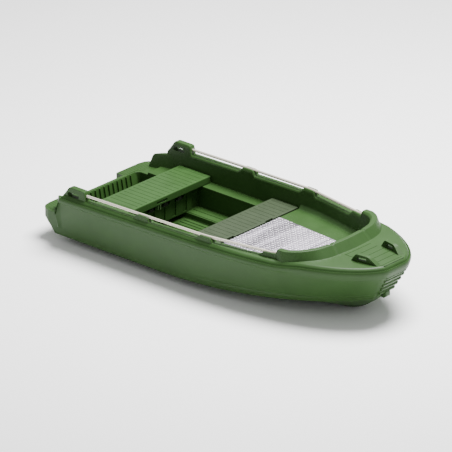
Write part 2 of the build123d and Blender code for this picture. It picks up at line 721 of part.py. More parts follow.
# ---------------------------------------------------------------- locker and latch
locker_base = FLOOR_Z + 0.3
locker_top = DECK_Z - 0.5
with BuildPart() as stern_locker:
    add(block(LOCKER, (-LOCKER_HALF, LOCKER_HALF), (locker_base, locker_top)))
    inside = (LOCKER[0] + LOCKER_WALL, LOCKER[1] - LOCKER_RIB - LOCKER_WALL)
    add(block(inside, (LOCKER_WALL - LOCKER_HALF, LOCKER_HALF - LOCKER_WALL),
              (locker_base + LOCKER_WALL, locker_top + 1)), mode=Mode.SUBTRACT)
    # upright flutes in the front
    with BuildSketch(Plane.XY.offset(locker_base + 14)):
        with Locations((LOCKER[1], 0)):
            with GridLocations(0, 148, 1, 6):
                Rectangle(2 * LOCKER_RIB, 52)
    extrude(amount=locker_top - locker_base - 52, mode=Mode.SUBTRACT)
    with Locations(Location((LOCKER[1], 0, LATCH_PIVOT_Z), (0, 90, 0))):
        Cylinder(SCREW_R, 2 * (LOCKER_WALL + LOCKER_RIB), mode=Mode.SUBTRACT)
save(stern_locker, "stern_locker")

with BuildPart() as latch_screw:
    with Locations(Location((LOCKER[1], 0, LATCH_PIVOT_Z), (0, 90, 0))):
        Cylinder(SCREW_R - 0.02, 10, align=(Align.CENTER, Align.CENTER, Align.MAX))
        Cylinder(SCREW_R - 0.02, LATCH_T + 1, align=(Align.CENTER, Align.CENTER, Align.MIN))
    with Locations(Location((LOCKER[1] + LATCH_T + 1, 0, LATCH_PIVOT_Z), (0, 90, 0))):
        Cylinder(SCREW_HEAD_R - 0.6, SCREW_HEAD_T, align=(Align.CENTER, Align.CENTER, Align.MIN))
save(latch_screw, "latch_screw")

with BuildPart() as bench_latch:
    with BuildSketch(Plane.YZ.offset(LOCKER[1] + 0.5)):
        with Locations((0, LATCH_PIVOT_Z)):
            Circle(LATCH_WIDE / 2)
        with Locations((0, LATCH_PIVOT_Z + LATCH_LONG / 2)):
            Rectangle(LATCH_WIDE, LATCH_LONG)
        with Locations((0, LATCH_PIVOT_Z)):
            Circle(SCREW_R + 0.05, mode=Mode.SUBTRACT)
    extrude(amount=LATCH_T)
    add(block((LOCKER[1] + 0.5, LOCKER[1] + LATCH_T + 5.5), (-LATCH_WIDE / 2, LATCH_WIDE / 2),
              (LATCH_PIVOT_Z + LATCH_LONG, LATCH_PIVOT_Z + LATCH_LONG + 4)))
save(bench_latch, "bench_latch")


# ---------------------------------------------------------------- benches
def bench(x_span, half, base, thick, rib_ys):
    """A moulded bench board: grooved top, skirt all round, ribs underneath."""
    x0, x1 = x_span
    with BuildPart() as board:
        add(block(x_span, (-half, half), (base, base + thick)))
        fillet(board.edges().filter_by(Axis.Z), 12)
        with BuildSketch(Plane.XY.offset(base)):
            with Locations(((x0 + x1) / 2, 0)):
                Rectangle(x1 - x0 - 2 * BENCH_SKIN, 2 * (half - BENCH_SKIN))
        extrude(amount=thick - BENCH_SKIN, mode=Mode.SUBTRACT)
        for y in rib_ys:
            add(block((x0 + 1, x1 - 1), (y - BENCH_RIB / 2, y + BENCH_RIB / 2),
                      (base + 4, base + thick - 1)))
        grooves = int(2 * (half - 60) / GROOVE_PITCH)
        with BuildSketch(Plane.XY.offset(base + thick)):
            with Locations(((x0 + x1) / 2, 0)):
                with GridLocations(0, GROOVE_PITCH, 1, grooves):
                    Rectangle(x1 - x0 - 50, GROOVE_W)
        extrude(amount=-GROOVE_D, mode=Mode.SUBTRACT)
    return board


AFT_HALF = wall_y(STERN_X) - BENCH_END_GAP
MID_HALF = wall_y(SHELF_FWD_X) - BENCH_END_GAP
aft_base = DECK_Z + BENCH_SEAT_GAP
board = bench(AFT_BENCH, AFT_HALF, aft_base, BENCH_TOP_Z - aft_base, (-440, -220, 220, 440))
with BuildPart() as aft_bench:
    add(board.part)
    with BuildSketch(Plane.YZ.offset(AFT_BENCH[1] + 1)):
        with Locations((0, aft_base + 33)):
            SlotOverall(150, 22)
    extrude(amount=-BENCH_SKIN - 2, mode=Mode.SUBTRACT)
save(aft_bench, "aft_bench")

board = bench(MID_BENCH, MID_HALF, SHELF_Z + BENCH_SEAT_GAP, MID_BENCH_THICK, (-440, -180, 180, 440))
NOTCH_Y, NOTCH_LONG, NOTCH_DEEP = 268.0, 96.0, 18.0
with BuildPart() as mid_bench:
    add(board.part)
    for side in (-1, 1):
        y0, y1 = side * NOTCH_Y - NOTCH_LONG / 2, side * NOTCH_Y + NOTCH_LONG / 2
        add(block((MID_BENCH[1] - NOTCH_DEEP - BENCH_SKIN, MID_BENCH[1] - 1),
                  (y0 - BENCH_SKIN, y1 + BENCH_SKIN),
                  (SHELF_Z + BENCH_SEAT_GAP, BENCH_TOP_Z - GROOVE_D)))
        add(block((MID_BENCH[1] - NOTCH_DEEP, MID_BENCH[1] + 1), (y0, y1),
                  (SHELF_Z, BENCH_TOP_Z + 1)), mode=Mode.SUBTRACT)
save(mid_bench, "mid_bench")

# keeper: hangs from the bench, so that the turned latch lies over its foot
foot_top = LATCH_PIVOT_Z - LATCH_WIDE / 2 - LATCH_GAP
skirt_x = AFT_BENCH[1] - BENCH_SKIN
strap_x = LOCKER[1] + 11.0
with BuildPart() as latch_keeper:
    y_span = (14.0, 30.0)
    add(block((skirt_x - 2, skirt_x), (y_span[0] - 8, y_span[1] + 8), (aft_base + 6, aft_base + 22)))
    add(block((strap_x, skirt_x - 1), y_span, (aft_base + 6, aft_base + 8)))
    add(block((strap_x, strap_x + 2), y_span, (foot_top - 2, aft_base + 8)))
    add(block((LOCKER[1] + 2, strap_x + 2), y_span, (foot_top - 2, foot_top)))
save(latch_keeper, "latch_keeper")

# ---------------------------------------------------------------- hinges
third = (HINGE_W - 2 * KNUCKLE_GAP) / 3
with BuildPart() as hinge_deck_leaves:
    for side in (-1, 1):
        y = side * HINGE_Y
        add(block((AXIS_X - LEAF_DEEP, AXIS_X + 2), (y - HINGE_W / 2, y + HINGE_W / 2),
                  (DECK_Z, DECK_Z + LEAF_T)))
        for dy in (-third - KNUCKLE_GAP, third + KNUCKLE_GAP):
            with Locations(Location((AXIS_X, y + dy, AXIS_Z), (90, 0, 0))):
                Cylinder(KNUCKLE_R, third)
            add(block((AXIS_X - 5, AXIS_X - 1), (y + dy - third / 2, y + dy + third / 2),
                      (DECK_Z + LEAF_T - 0.5, AXIS_Z)))
        with Locations(Location((AXIS_X, y, AXIS_Z), (90, 0, 0))):
            Cylinder(PIN_R + PIN_GAP, HINGE_W + 10, mode=Mode.SUBTRACT)
    with Locations(*[(x, y, DECK_Z + LEAF_T) for x, y in leaf_screw_places()]):
        Hole(SCREW_R)
save(hinge_deck_leaves, "hinge_deck_leaves")

with BuildPart() as hinge_bench_leaves:
    for side in (-1, 1):
        y = side * HINGE_Y
        add(block((AFT_BENCH[0] - LEAF_T, AFT_BENCH[0]), (y - HINGE_W / 2, y + HINGE_W / 2),
                  (AXIS_Z + 8, AXIS_Z + 46)))
        add(block((AFT_BENCH[0] - LEAF_T, AFT_BENCH[0]), (y - third / 2, y + third / 2),
                  (AXIS_Z - 1.5, AXIS_Z + 9)))
        with Locations(Location((AXIS_X, y, AXIS_Z), (90, 0, 0))):
            Cylinder(KNUCKLE_R, third)
        add(block((AXIS_X, AFT_BENCH[0] - 1), (y - third / 2, y + third / 2),
                  (AXIS_Z - 1.5, AXIS_Z + 1.5)))
        with Locations(Location((AXIS_X, y, AXIS_Z), (90, 0, 0))):
            Cylinder(PIN_R + PIN_GAP, HINGE_W, mode=Mode.SUBTRACT)
save(hinge_bench_leaves, "hinge_bench_leaves")

with BuildPart() as hinge_pins:
    for side in (-1, 1):
        with Locations(Location((AXIS_X, side * HINGE_Y, AXIS_Z), (90, 0, 0))):
            Cylinder(PIN_R, HINGE_W + 2)
save(hinge_pins, "hinge_pins")
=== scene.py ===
"""A 3.7 m rotomoulded polyethylene dinghy with handrails, benches and a tread plate.

Metres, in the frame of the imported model: +X to the bow, +Y to port, +Z up, the keel on z = 0.
The hull is one closed surface.  Lines of corners run along it from the stern round to the bow,
and at each place along the boat the section between the corners is drawn with rounded corners.
"""

from math import cos, pi, radians, sin

import bmesh
import bpy
import numpy as np
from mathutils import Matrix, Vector


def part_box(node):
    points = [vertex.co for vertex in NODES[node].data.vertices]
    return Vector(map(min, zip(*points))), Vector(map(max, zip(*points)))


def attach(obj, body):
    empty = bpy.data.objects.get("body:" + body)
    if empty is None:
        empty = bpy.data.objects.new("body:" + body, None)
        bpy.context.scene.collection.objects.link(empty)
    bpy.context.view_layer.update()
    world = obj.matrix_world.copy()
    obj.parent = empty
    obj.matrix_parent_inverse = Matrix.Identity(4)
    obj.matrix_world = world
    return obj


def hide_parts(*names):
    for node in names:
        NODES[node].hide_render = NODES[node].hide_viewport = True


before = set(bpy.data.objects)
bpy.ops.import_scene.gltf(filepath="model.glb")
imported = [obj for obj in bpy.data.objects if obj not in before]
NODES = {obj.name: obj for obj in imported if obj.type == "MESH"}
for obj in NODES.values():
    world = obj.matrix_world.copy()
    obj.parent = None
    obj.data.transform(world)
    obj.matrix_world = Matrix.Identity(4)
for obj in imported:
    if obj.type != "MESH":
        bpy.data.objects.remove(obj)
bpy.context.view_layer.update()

# ---------------------------------------------------------------- driving sizes
STERN_X, STEM_X = -1.85, 1.85
FULL_BEAM_X = -0.30
HALF_BEAM = 0.80
NOSE_X = 1.875              # where the beam's curve would close, past the blunt bow
SPLIT_X = 0.93              # forward of this the corner lines turn round the bow

SHEER_STERN, SHEER_BOW = 0.505, 0.542
BOW_RISE = 0.028            # the bow deck over the sheer at the forward posts
RAIL_ABOVE = 0.043
RAIL_IN = 0.038
GUNWALE_IN, GUNWALE_IN_BOW = 0.115, 0.155
POSTS = (-0.560, 0.194, 0.872)
POST_HALF = 0.059
POST_SLOPE_AFT, POST_SLOPE_FWD = 0.062, 0.026
CHEEK = 0.005
CHANNEL = 0.0138            # half width of the rail's channel

KEEL_FLAT = 0.060
KEEL_LIFT_X = 1.25
CHINE_HALF = 0.73

PLATFORM_Z, DECK_Z, SHELF_Z, FOREDECK_Z = 0.292, 0.315, 0.352, 0.380
FLOOR_Z, AISLE_Z = 0.100, 0.045
WELL_AFT_X, WELL_FWD_X = -1.731, 0.030
LOCKER_X = -1.07
SHELF_AFT_X, SHELF_FWD_X = -0.263, 0.090
BAY_HALF, WELL_HALF, AISLE_HALF = 0.47, 0.56, 0.385
TRANSOM_HALF = 0.303
COAMING_Z = 0.638


# ---------------------------------------------------------------- curves
def ease(x, start, end):
    """A smooth step from 0 at start to 1 at end: 3t^2 - 2t^3."""
    t = np.clip((x - start) / (end - start), 0.0, 1.0)
    return t * t * (3 - 2 * t)


def soft(x, knots, reach=0.004):
    """Straight runs between knots, averaged over reach to either side, so corners come round."""
    at, value = np.array(knots, float).T
    return np.mean([np.interp(x + d, at, value) for d in np.linspace(-reach, reach, 9)], axis=0)


def half_beam(x):
    """Half the beam over the rubbing band: full aft, then 0.8 sqrt(1 - t^2.6) to the bow."""
    t = np.clip((x - FULL_BEAM_X) / (NOSE_X + FULL_BEAM_X * -1), 0.0, 0.99999)
    return HALF_BEAM * np.sqrt(1 - t ** 2.6)


def sheer(x):
    return SHEER_STERN + (SHEER_BOW - SHEER_STERN) * ease(x, -2.0, 0.6)


def bow_rise(x):
    return BOW_RISE * ease(x, SPLIT_X, 1.25)


def wall_y(x):
    return half_beam(x) - GUNWALE_IN - (GUNWALE_IN_BOW - GUNWALE_IN) * ease(x, 0.2, 0.9)


def keel_z(x):
    """Flat, then a power curve up to the stem."""
    t = np.clip((x - KEEL_LIFT_X) / (STEM_X - KEEL_LIFT_X), 0.0, 1.0)
    return 0.47 * t ** 2.2


def chine_y(x):
    """Half beam at the chine: 0.73 (1 - t^2.6)^(2/3)."""
    t = np.clip((x + 0.5) / 2.2, 0.0, 1.0)
    return np.maximum(0.072, CHINE_HALF * (1 - t ** 2.6) ** (1 / 1.5))


def chine_z(x):
    t = np.clip((x + 0.3) / 1.95, 0.0, None)
    return np.maximum(0.07 + 0.13 * t ** 1.6, keel_z(x) + 0.014)


def stations(low, high, coarse, fine, marks, reach):
    """Places from low to high, coarse apart, closing to fine apart near each mark."""
    x = np.linspace(low, high, 6000)
    near = np.exp(-((x[:, None] - np.array(marks)) / reach) ** 2).max(axis=1)
    density = 1 / coarse + (1 / fine - 1 / coarse) * near
    total = np.concatenate([[0.0], np.cumsum((density[1:] + density[:-1]) / 2 * np.diff(x))])
    return np.interp(np.linspace(0, total[-1], int(total[-1]) + 1), total, x)


def along(points, share):
    """Points at shares of the length of a polyline."""
    points = np.asarray(points, float)
    gaps = np.linalg.norm(np.diff(points, axis=0), axis=1)
    at = np.concatenate([[0.0], np.cumsum(gaps)])
    return np.stack([np.interp(share * at[-1], at, points[:, i])
                     for i in range(points.shape[1])], axis=1)


def arcs(points, radii, samples):
    """Each inner corner of a polyline becomes a quadratic Bezier arc.

    points is (..., K, 3) and radii (K) or (..., K).  An arc starts its radius away from the
    corner, or at 0.45 of the run to the next corner if that is less, and uses the corner as its
    middle control point: (1-t)^2 A + 2t(1-t) P + t^2 B.
    """
    points = np.asarray(points, float)
    corner, before, after = points[..., 1:-1, :], points[..., :-2, :], points[..., 2:, :]
    radii = np.broadcast_to(np.asarray(radii, float), points.shape[:-1])[..., 1:-1]
    to_before, to_after = before - corner, after - corner
    run_before = np.linalg.norm(to_before, axis=-1) + 1e-9
    run_after = np.linalg.norm(to_after, axis=-1) + 1e-9
    a = corner + to_before * np.minimum(0.45, radii / run_before)[..., None]
    b = corner + to_after * np.minimum(0.45, radii / run_after)[..., None]
    t = np.linspace(0, 1, samples)[:, None]
    bent = ((1 - t) ** 2 * a[..., None, :] + 2 * t * (1 - t) * corner[..., None, :]
            + t ** 2 * b[..., None, :])
    bent = bent.reshape(*points.shape[:-2], -1, points.shape[-1])
    return np.concatenate([points[..., :1, :], bent, points[..., -1:, :]], axis=-2)


# ---------------------------------------------------------------- mesh making
def piece(name, verts, faces, closed=True):
    """A mesh object at the origin, its doubles merged and its faces turned outwards."""
    mesh = bpy.data.meshes.new(name)
    mesh.from_pydata(np.asarray(verts).reshape(-1, 3).tolist(), [], [list(f) for f in faces])
    work = bmesh.new()
    work.from_mesh(mesh)
    bmesh.ops.remove_doubles(work, verts=work.verts, dist=1e-5)
    if closed:
        rim = [e for e in work.edges if e.is_boundary]
        if rim:
            bmesh.ops.holes_fill(work, edges=rim, sides=0)
    bmesh.ops.recalc_face_normals(work, faces=work.faces)
    work.to_mesh(mesh)
    work.free()
    mesh.polygons.foreach_set("use_smooth", [True] * len(mesh.polygons))
    obj = bpy.data.objects.new(name, mesh)
    bpy.context.scene.collection.objects.link(obj)
    return obj


def quads(rows, cols, wrap=False, start=0):
    """Faces of a grid of rows by cols vertices, closed across its columns if wrapped."""
    r = np.arange(rows - 1)[:, None]
    c = np.arange(cols if wrap else cols - 1)[None, :]
    c_next = (c + 1) % cols
    a, b = r * cols + c, r * cols + c_next
    d, e = (r + 1) * cols + c, (r + 1) * cols + c_next
    return (np.stack([a, d, e, b], axis=-1).reshape(-1, 4) + start).tolist()


def apply_modifiers(obj):
    """Replace the object's mesh by what its modifiers make of it."""
    bpy.context.view_layer.update()
    mesh = bpy.data.meshes.new_from_object(obj.evaluated_get(bpy.context.evaluated_depsgraph_get()))
    obj.modifiers.clear()
    obj.data = mesh


def cut(obj, tools):
    """Subtract the tools from the object and throw them away."""
    for tool in tools:
        modifier = obj.modifiers.new("cut", "BOOLEAN")
        modifier.operation, modifier.solver, modifier.object = "DIFFERENCE", "EXACT", tool
    apply_modifiers(obj)
    for tool in tools:
        bpy.data.objects.remove(tool)
    obj.data.polygons.foreach_set("use_smooth", [True] * len(obj.data.polygons))


def finish(obj, material, body="hull", sharp=35):
    """Shade, dress and fasten a piece to its body."""
    obj.data.materials.clear()
    obj.data.materials.append(material)
    obj.data.set_sharp_from_angle(angle=radians(sharp))
    weighted = obj.modifiers.new("flat faces stay flat", "WEIGHTED_NORMAL")
    weighted.keep_sharp = True
    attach(obj, body)
    return obj


# ---------------------------------------------------------------- the hull's corner lines
def post_line():
    """The gunwale's top as knots (x, z): quarter block, three posts and the coaming's aft end."""
    knots = [(STERN_X, PLATFORM_Z), (-1.610, PLATFORM_Z), (-1.549, 0.485), (-1.472, 0.590),
             (-1.448, 0.600), (-1.290, 0.600), (-1.272, 0.592),
             (-1.262, sheer(-1.262))]
    for post in POSTS:
        cheek = sheer(post) + RAIL_ABOVE + CHEEK
        knots += [(post - POST_HALF - POST_SLOPE_AFT, sheer(post)), (post - POST_HALF, cheek),
                  (post + POST_HALF, cheek)]
        end = post + POST_HALF + POST_SLOPE_FWD
        knots += [(end, sheer(end)), (end + 0.12, sheer(end + 0.12))]
    return knots[:-2] + [(0.935, 0.596), (0.948, COAMING_Z), (1.2, COAMING_Z)]


def level_lines(x):
    """Heights along the boat of the ledges, the well's floor and the aisle's floor."""
    ledge = soft(x, [(STERN_X, PLATFORM_Z), (-1.704, PLATFORM_Z), (-1.668, DECK_Z),
                     (SHELF_AFT_X - 0.002, DECK_Z), (SHELF_AFT_X + 0.002, SHELF_Z),
                     (SHELF_FWD_X - 0.002, SHELF_Z), (SHELF_FWD_X + 0.004, FOREDECK_Z),
                     (2, FOREDECK_Z)])
    in_well = soft(x, [(WELL_AFT_X, 0), (WELL_AFT_X + 0.040, 1), (WELL_FWD_X - 0.006, 1),
                       (WELL_FWD_X, 0)], reach=0.003)
    floor = ledge + (FLOOR_Z - ledge) * in_well
    in_aisle = soft(x, [(-1.655, 0), (-1.648, 1), (-0.014, 1), (-0.008, 0)], reach=0.003)
    return ledge, floor, floor + (AISLE_Z - FLOOR_Z) * in_aisle


def well_side(x):
    """Half width of the well: the stern bay, the wider foot well, and rounded end corners."""
    half = soft(x, [(LOCKER_X - 0.002, BAY_HALF), (LOCKER_X + 0.002, WELL_HALF)])
    aft = np.clip((WELL_AFT_X + 0.05 - x) / 0.05, 0, 1)
    fwd = np.clip((x - WELL_FWD_X + 0.04) / 0.04, 0, 1)
    half = half - 0.05 * (1 - np.sqrt(1 - aft ** 2)) - 0.04 * (1 - np.sqrt(1 - fwd ** 2))
    return half - 0.26 * ease(x, 0.12, 0.9)


def platform_side(x):
    return soft(x, [(STERN_X, 0.600), (-1.838, 0.672), (-1.800, 0.722), (-1.740, 0.742),
                    (-1.621, 0.750), (-1.607, 0.815)], reach=0.005)


def under_line(x):
    """The concave underside of the stern platforms."""
    return soft(x, [(STERN_X, 0.234), (-1.815, 0.222), (-1.770, 0.192), (-1.715, 0.140),
                    (-1.680, 0.085), (-1.655, 0.020), (-1.645, -0.2)], reach=0.010)


# offsets of the rubbing band's corners: inboard of its crest, and above the sheer
BAND = np.array([(0.016, -0.084), (0.003, -0.074), (0.000, -0.062), (0.000, -0.042),
                 (0.008, -0.026), (0.019, -0.036), (0.028, -0.018), (0.047, 0.000)])
BAND_ARC = [0.004, 0.003, 0.008, 0.012, 0.006, 0.004, 0.005, 0.012]
STRAKES = (0.11, 0.21)      # spray strakes' heights, as shares of the side


def side_runs(x):
    """Corner lines aft of SPLIT_X, as an array (stations, corners, 3)."""
    z_sheer, y_band = sheer(x), half_beam(x)
    slope = (half_beam(x + 1e-4) - half_beam(x - 1e-4)) / 2e-4
    normal = np.stack([slope, -np.ones_like(x)], axis=1) / np.sqrt(1 + slope ** 2)[:, None]
    keel, chine = keel_z(x), chine_z(x)
    y_chine = chine_y(x)
    lines = [(x, 0 * x, keel), (x, KEEL_FLAT + 0 * x, keel)]

    def bottom(y):
        return keel + (chine - keel) * (y - KEEL_FLAT) / (y_chine - KEEL_FLAT)

    lines += [(x, TRANSOM_HALF - 0.002 + 0 * x, bottom(TRANSOM_HALF - 0.002)),
              (x, TRANSOM_HALF + 0.002 + 0 * x,
               np.maximum(bottom(TRANSOM_HALF + 0.002), under_line(x))),
              (x, y_chine, np.maximum(chine, under_line(x)))]
    side_top = np.stack([y_band - BAND[0, 0], z_sheer + BAND[0, 1]])
    side_foot = np.stack([y_chine, chine])
    proud = 0.009 * ease(x, -0.2, 0.9)
    for share in STRAKES:
        for more, out in ((0.0, 0.0), (0.016, 1.0)):
            at = side_foot + (side_top - side_foot) * (share + more)
            lines.append((x, at[0] + out * proud, np.maximum(at[1], under_line(x) + share * 0.05)))
    for inboard, up in BAND:
        lines.append((x + normal[:, 0] * inboard, y_band + normal[:, 1] * inboard, z_sheer + up))

    wall = wall_y(x)
    rail = wall + RAIL_IN
    top = soft(x, post_line(), reach=0.005)
    posted = (x > -1.2) & (x < 0.94)
    channel = np.maximum(z_sheer, z_sheer + RAIL_ABOVE - CHANNEL)
    trough = np.where(posted, np.minimum(top, channel), top)
    raised = np.clip((top - z_sheer) / 0.05, 0, 1)
    lines += [(x, rail + 0.033 + 0.0 * x, z_sheer + 0.0005), (x, rail + 0.030, top),
              (x, rail + CHANNEL, top), (x, rail + CHANNEL - 0.001, trough),
              (x, rail - CHANNEL + 0.001, trough), (x, rail - CHANNEL, top),
              (x, rail - 0.029, top), (x, wall - 0.001, np.maximum(top - 0.016, z_sheer - 0.016)
                                       - 0.010 * raised)]
    ledge, floor, aisle = level_lines(x)
    strip = ease(x, 0.075, 0.105)
    well = well_side(x)
    aisle_half = np.minimum(AISLE_HALF, well - 0.02) - 0.10 * ease(x, 0.12, 0.9)
    lines += [(x, wall, ledge + 0.034 * strip), (x, wall - 0.003 - 0.028 * strip, ledge),
              (x, well, ledge), (x, well - 0.002, floor), (x, aisle_half, floor),
              (x, aisle_half - 0.002, aisle), (x, 0 * x, aisle)]
    runs = np.stack([np.stack(line, axis=1) for line in lines], axis=1)

    # the stern: everything is kept under the quarter block's slope and inside the platforms
    limit = soft(x, [(STERN_X, PLATFORM_Z), (-1.610, PLATFORM_Z), (-1.549, 0.485), (-1.472, 0.590),
                     (-1.42, 0.7)], reach=0.005)
    runs[:, 5:, 2] = np.minimum(runs[:, 5:, 2], limit[:, None])
    spread = 0.0002 * np.arange(runs.shape[1])
    runs[..., 1] = np.minimum(runs[..., 1], platform_side(x)[:, None] + spread)
    return runs


def rounded_path(points, radii):
    """A dense line through points with its corners rounded."""
    bent = arcs(np.array(points, float), [0] + list(radii) + [0], 14)
    return along(bent, np.linspace(0, 1, 400))


def bow_runs(start, share):
    """Corner lines from the last of the side's corners, round the bow to the centreline."""
    corner_share = 0.84
    along_side = np.clip(share / corner_share, 0, 1)
    across = np.clip((share - corner_share) / (1 - corner_share), 0, 1)

    def two_part(side, front):
        near = along(side, along_side)
        return np.where((share <= corner_share)[:, None], near, along(front, across))

    # crest of the band: the beam's curve, cut off softly by the blunt bow
    angle = np.linspace(pi / 2, 0, 3000)
    crest = np.stack([FULL_BEAM_X + (NOSE_X - FULL_BEAM_X) * np.cos(angle) ** (1 / 1.3),
                      HALF_BEAM * np.sin(angle)], axis=1)
    width = 0.007
    crest[:, 0] -= width * np.log1p(np.exp((crest[:, 0] - STEM_X) / width))
    step = np.gradient(crest, axis=0)
    inward = np.stack([step[:, 1], -step[:, 0]], axis=1)
    inward /= np.linalg.norm(inward, axis=1)[:, None]
    inward[-1] = (-1, 0)

    def offset(inboard, up):
        line = crest + inward * inboard
        line[:, 1] = np.maximum(line[:, 1], 0)
        rise = bow_rise(line[:, 0]) * (up > BAND[0, 1])
        return np.column_stack([line, SHEER_BOW + up + rise])

    def from_start(line, begin):
        """The part of a line forward of a corner, beginning exactly there."""
        kept = line[line[:, 0] > begin[0] + 0.004]
        return np.vstack([begin, kept])

    def split(line, y_corner):
        turn = np.argmax(line[:, 1] <= y_corner)
        side, front = line[:turn + 1], line[turn:]
        front = np.vstack([front, [front[-1, 0], 0, front[-1, 2]]])
        return side, front

    x = np.linspace(start[0, 0], 1.66, 300)
    runs = []
    keel_x = x * 0.97 + 0.03 * start[0, 0]
    keel = np.column_stack([keel_x, 0 * x, keel_z(keel_x)])
    runs.append(two_part(keel, [keel[-1], (1.668, 0, 0.196)]))
    edge_y = KEEL_FLAT * (1 - 0.25 * ease(x, 1.3, 1.66))
    edge = np.column_stack([keel[:, 0], edge_y, keel[:, 2]])
    runs.append(two_part(edge, [edge[-1], (1.672, 0, 0.202)]))
    chine = np.column_stack([x, chine_y(x), chine_z(x)])
    chine[:, 0] += 0.012 * ease(x, 1.5, 1.66)
    for y, lift in ((TRANSOM_HALF - 0.002, 0.0), (TRANSOM_HALF + 0.002, 0.004)):
        # two lines on the flat between keel edge and chine
        share_out = (y - KEEL_FLAT) / (chine_y(SPLIT_X) - KEEL_FLAT)
        line = edge + (chine - edge) * share_out
        end = (1.672 + 0.010 * share_out, 0, 0.202 + 0.02 * share_out)
        runs.append(two_part(line, [line[-1], end]))
    chine_front = rounded_path([chine[-1], (1.692, 0.080, 0.228), (1.694, 0, 0.228)], [0.01])
    runs.append(two_part(chine, chine_front))
    band_paths = []
    for inboard, up in BAND:
        line = from_start(offset(inboard, up), start[9 + len(band_paths)])
        band_paths.append(split(line, 0.150 - 0.3 * inboard))
    foot_side, foot_front = chine, chine_front
    top_side, top_front = band_paths[0]
    dense = np.linspace(0, 1, 300)
    for share_up in STRAKES:
        for more, out in ((0.0, 0.0), (0.016, 0.009)):
            up = share_up + more
            side = along(foot_side, dense) * (1 - up) + along(top_side, dense) * up
            front = along(foot_front, dense) * (1 - up) + along(top_front, dense) * up
            fade = 1 - 0.8 * ease(dense, 0.75, 1.0)
            side[:, 1] += out * fade
            front[:, 1] += out * 0.2 * np.clip(front[:, 1] / 0.05, 0, 1)
            runs.append(two_part(side, front))
    runs += [two_part(side, front) for side, front in band_paths]

    # posts' foot, coaming and cockpit: rounded plan lines from the side to the centreline
    foot_z, top_z = SHEER_BOW, COAMING_Z
    plans = [
        ([(1.02, 0.640), (1.20, 0.545), (1.325, 0.36), (1.346, 0.0)], 0.20, foot_z),
        ([(1.03, 0.612), (1.15, 0.545), (1.255, 0.36), (1.274, 0.0)], 0.20, top_z),
        ([(1.03, 0.602), (1.145, 0.537), (1.249, 0.355), (1.268, 0.0)], 0.195, top_z + 0.001),
        ([(1.03, 0.592), (1.140, 0.529), (1.243, 0.350), (1.262, 0.0)], 0.192, top_z + 0.001),
        ([(1.03, 0.574), (1.130, 0.514), (1.230, 0.340), (1.248, 0.0)], 0.188, top_z + 0.001),
        ([(1.03, 0.566), (1.125, 0.508), (1.225, 0.336), (1.243, 0.0)], 0.185, top_z + 0.001),
        ([(1.03, 0.556), (1.120, 0.500), (1.218, 0.330), (1.236, 0.0)], 0.18, top_z),
        ([(1.03, 0.534), (1.110, 0.485), (1.206, 0.320), (1.224, 0.0)], 0.17, top_z - 0.020),
        ([(1.03, 0.533), (1.109, 0.484), (1.205, 0.319), (1.223, 0.0)], 0.17, FOREDECK_Z + 0.034),
        ([(1.00, 0.508), (1.085, 0.455), (1.175, 0.300), (1.192, 0.0)], 0.17, FOREDECK_Z),
        ([(1.00, 0.24), (1.10, 0.18), (1.11, 0.0)], 0.08, FOREDECK_Z),
        ([(0.99, 0.23), (1.08, 0.16), (1.09, 0.0)], 0.08, FOREDECK_Z),
        ([(0.98, 0.20), (1.04, 0.10), (1.05, 0.0)], 0.06, FOREDECK_Z),
        ([(0.97, 0.19), (1.01, 0.08), (1.02, 0.0)], 0.05, FOREDECK_Z),
        ([(0.96, 0.0), (0.97, 0.0), (0.98, 0.0)], 0.0, FOREDECK_Z)]
    first = len(runs)
    for k, (points, radius, height) in enumerate(plans):
        begin = start[first + k]
        line = rounded_path([begin] + [(px, py, height) for px, py in points],
                            [0.03] + [radius] * (len(points) - 2))
        path = along(line, share)
        climb = soft(path[:, 0], [(begin[0], begin[2]), (begin[0] + 0.018, height)], reach=0.004)
        lift = 1.0 if height == foot_z else 0.4 * (height > 0.6)
        path[:, 2] = climb + bow_rise(path[:, 0]) * lift
        runs.append(path)
    # two shallow dips in the coaming's top, each side of the middle
    runs = np.stack(runs, axis=1)
    tops = slice(first + 1, first + 7)
    y = runs[:, tops, 1]
    inside = ease(y, 0.200, 0.203) * ease(y, 0.232, 0.229)
    runs[:, tops, 2] -= 0.007 * inside * (runs[:, tops, 0] > 1.1)
    runs[-1, :, 1] = 0
    runs[:, 0, 1] = 0
    runs[:, -1, 1] = 0
    return runs


def hull_half():
    """Port half of the hull as a grid (stations, section points, 3)."""
    edges = [-1.838, -1.685, -1.621, -1.607, -1.545, -1.47, -1.45, -1.39, -1.267, WELL_AFT_X,
             -1.70, -1.652, LOCKER_X, SHELF_AFT_X, SHELF_FWD_X, WELL_FWD_X, -0.011]
    for post in POSTS:
        edges += [post - POST_HALF - POST_SLOPE_AFT, post - POST_HALF, post + POST_HALF,
                  post + POST_HALF + POST_SLOPE_FWD]
    x = stations(STERN_X, SPLIT_X, 0.020, 0.0035, edges, 0.011)
    side = side_runs(x)
    share = stations(0, 1, 0.010, 0.004, [0.02, 0.84], 0.03)[1:]
    bow = bow_runs(side[-1], share)
    runs = np.concatenate([side, bow])
    radii = ([0, 0.01, 0.001, 0.001, 0.012] + [0.004] * 4 + BAND_ARC
             + [0.003, 0.007, 0.003, 0.004, 0.004, 0.003, 0.007, 0.008,
                0.008, 0.010, 0.010, 0.012, 0.012, 0.012, 0])
    return arcs(runs, radii, 3)


def hull_piece():
    """Both halves of the hull as one surface, meeting on the middle plane at the bow."""
    half = hull_half()
    half[-1, :, 1] = 0
    rows, cols = half.shape[:2]
    port = quads(rows, cols)
    other_half = half * (1, -1, 1)
    starboard = quads(rows, cols, start=rows * cols)
    points = np.concatenate([half.reshape(-1, 3), other_half.reshape(-1, 3)])
    return piece("hull_shell", points, port + starboard)


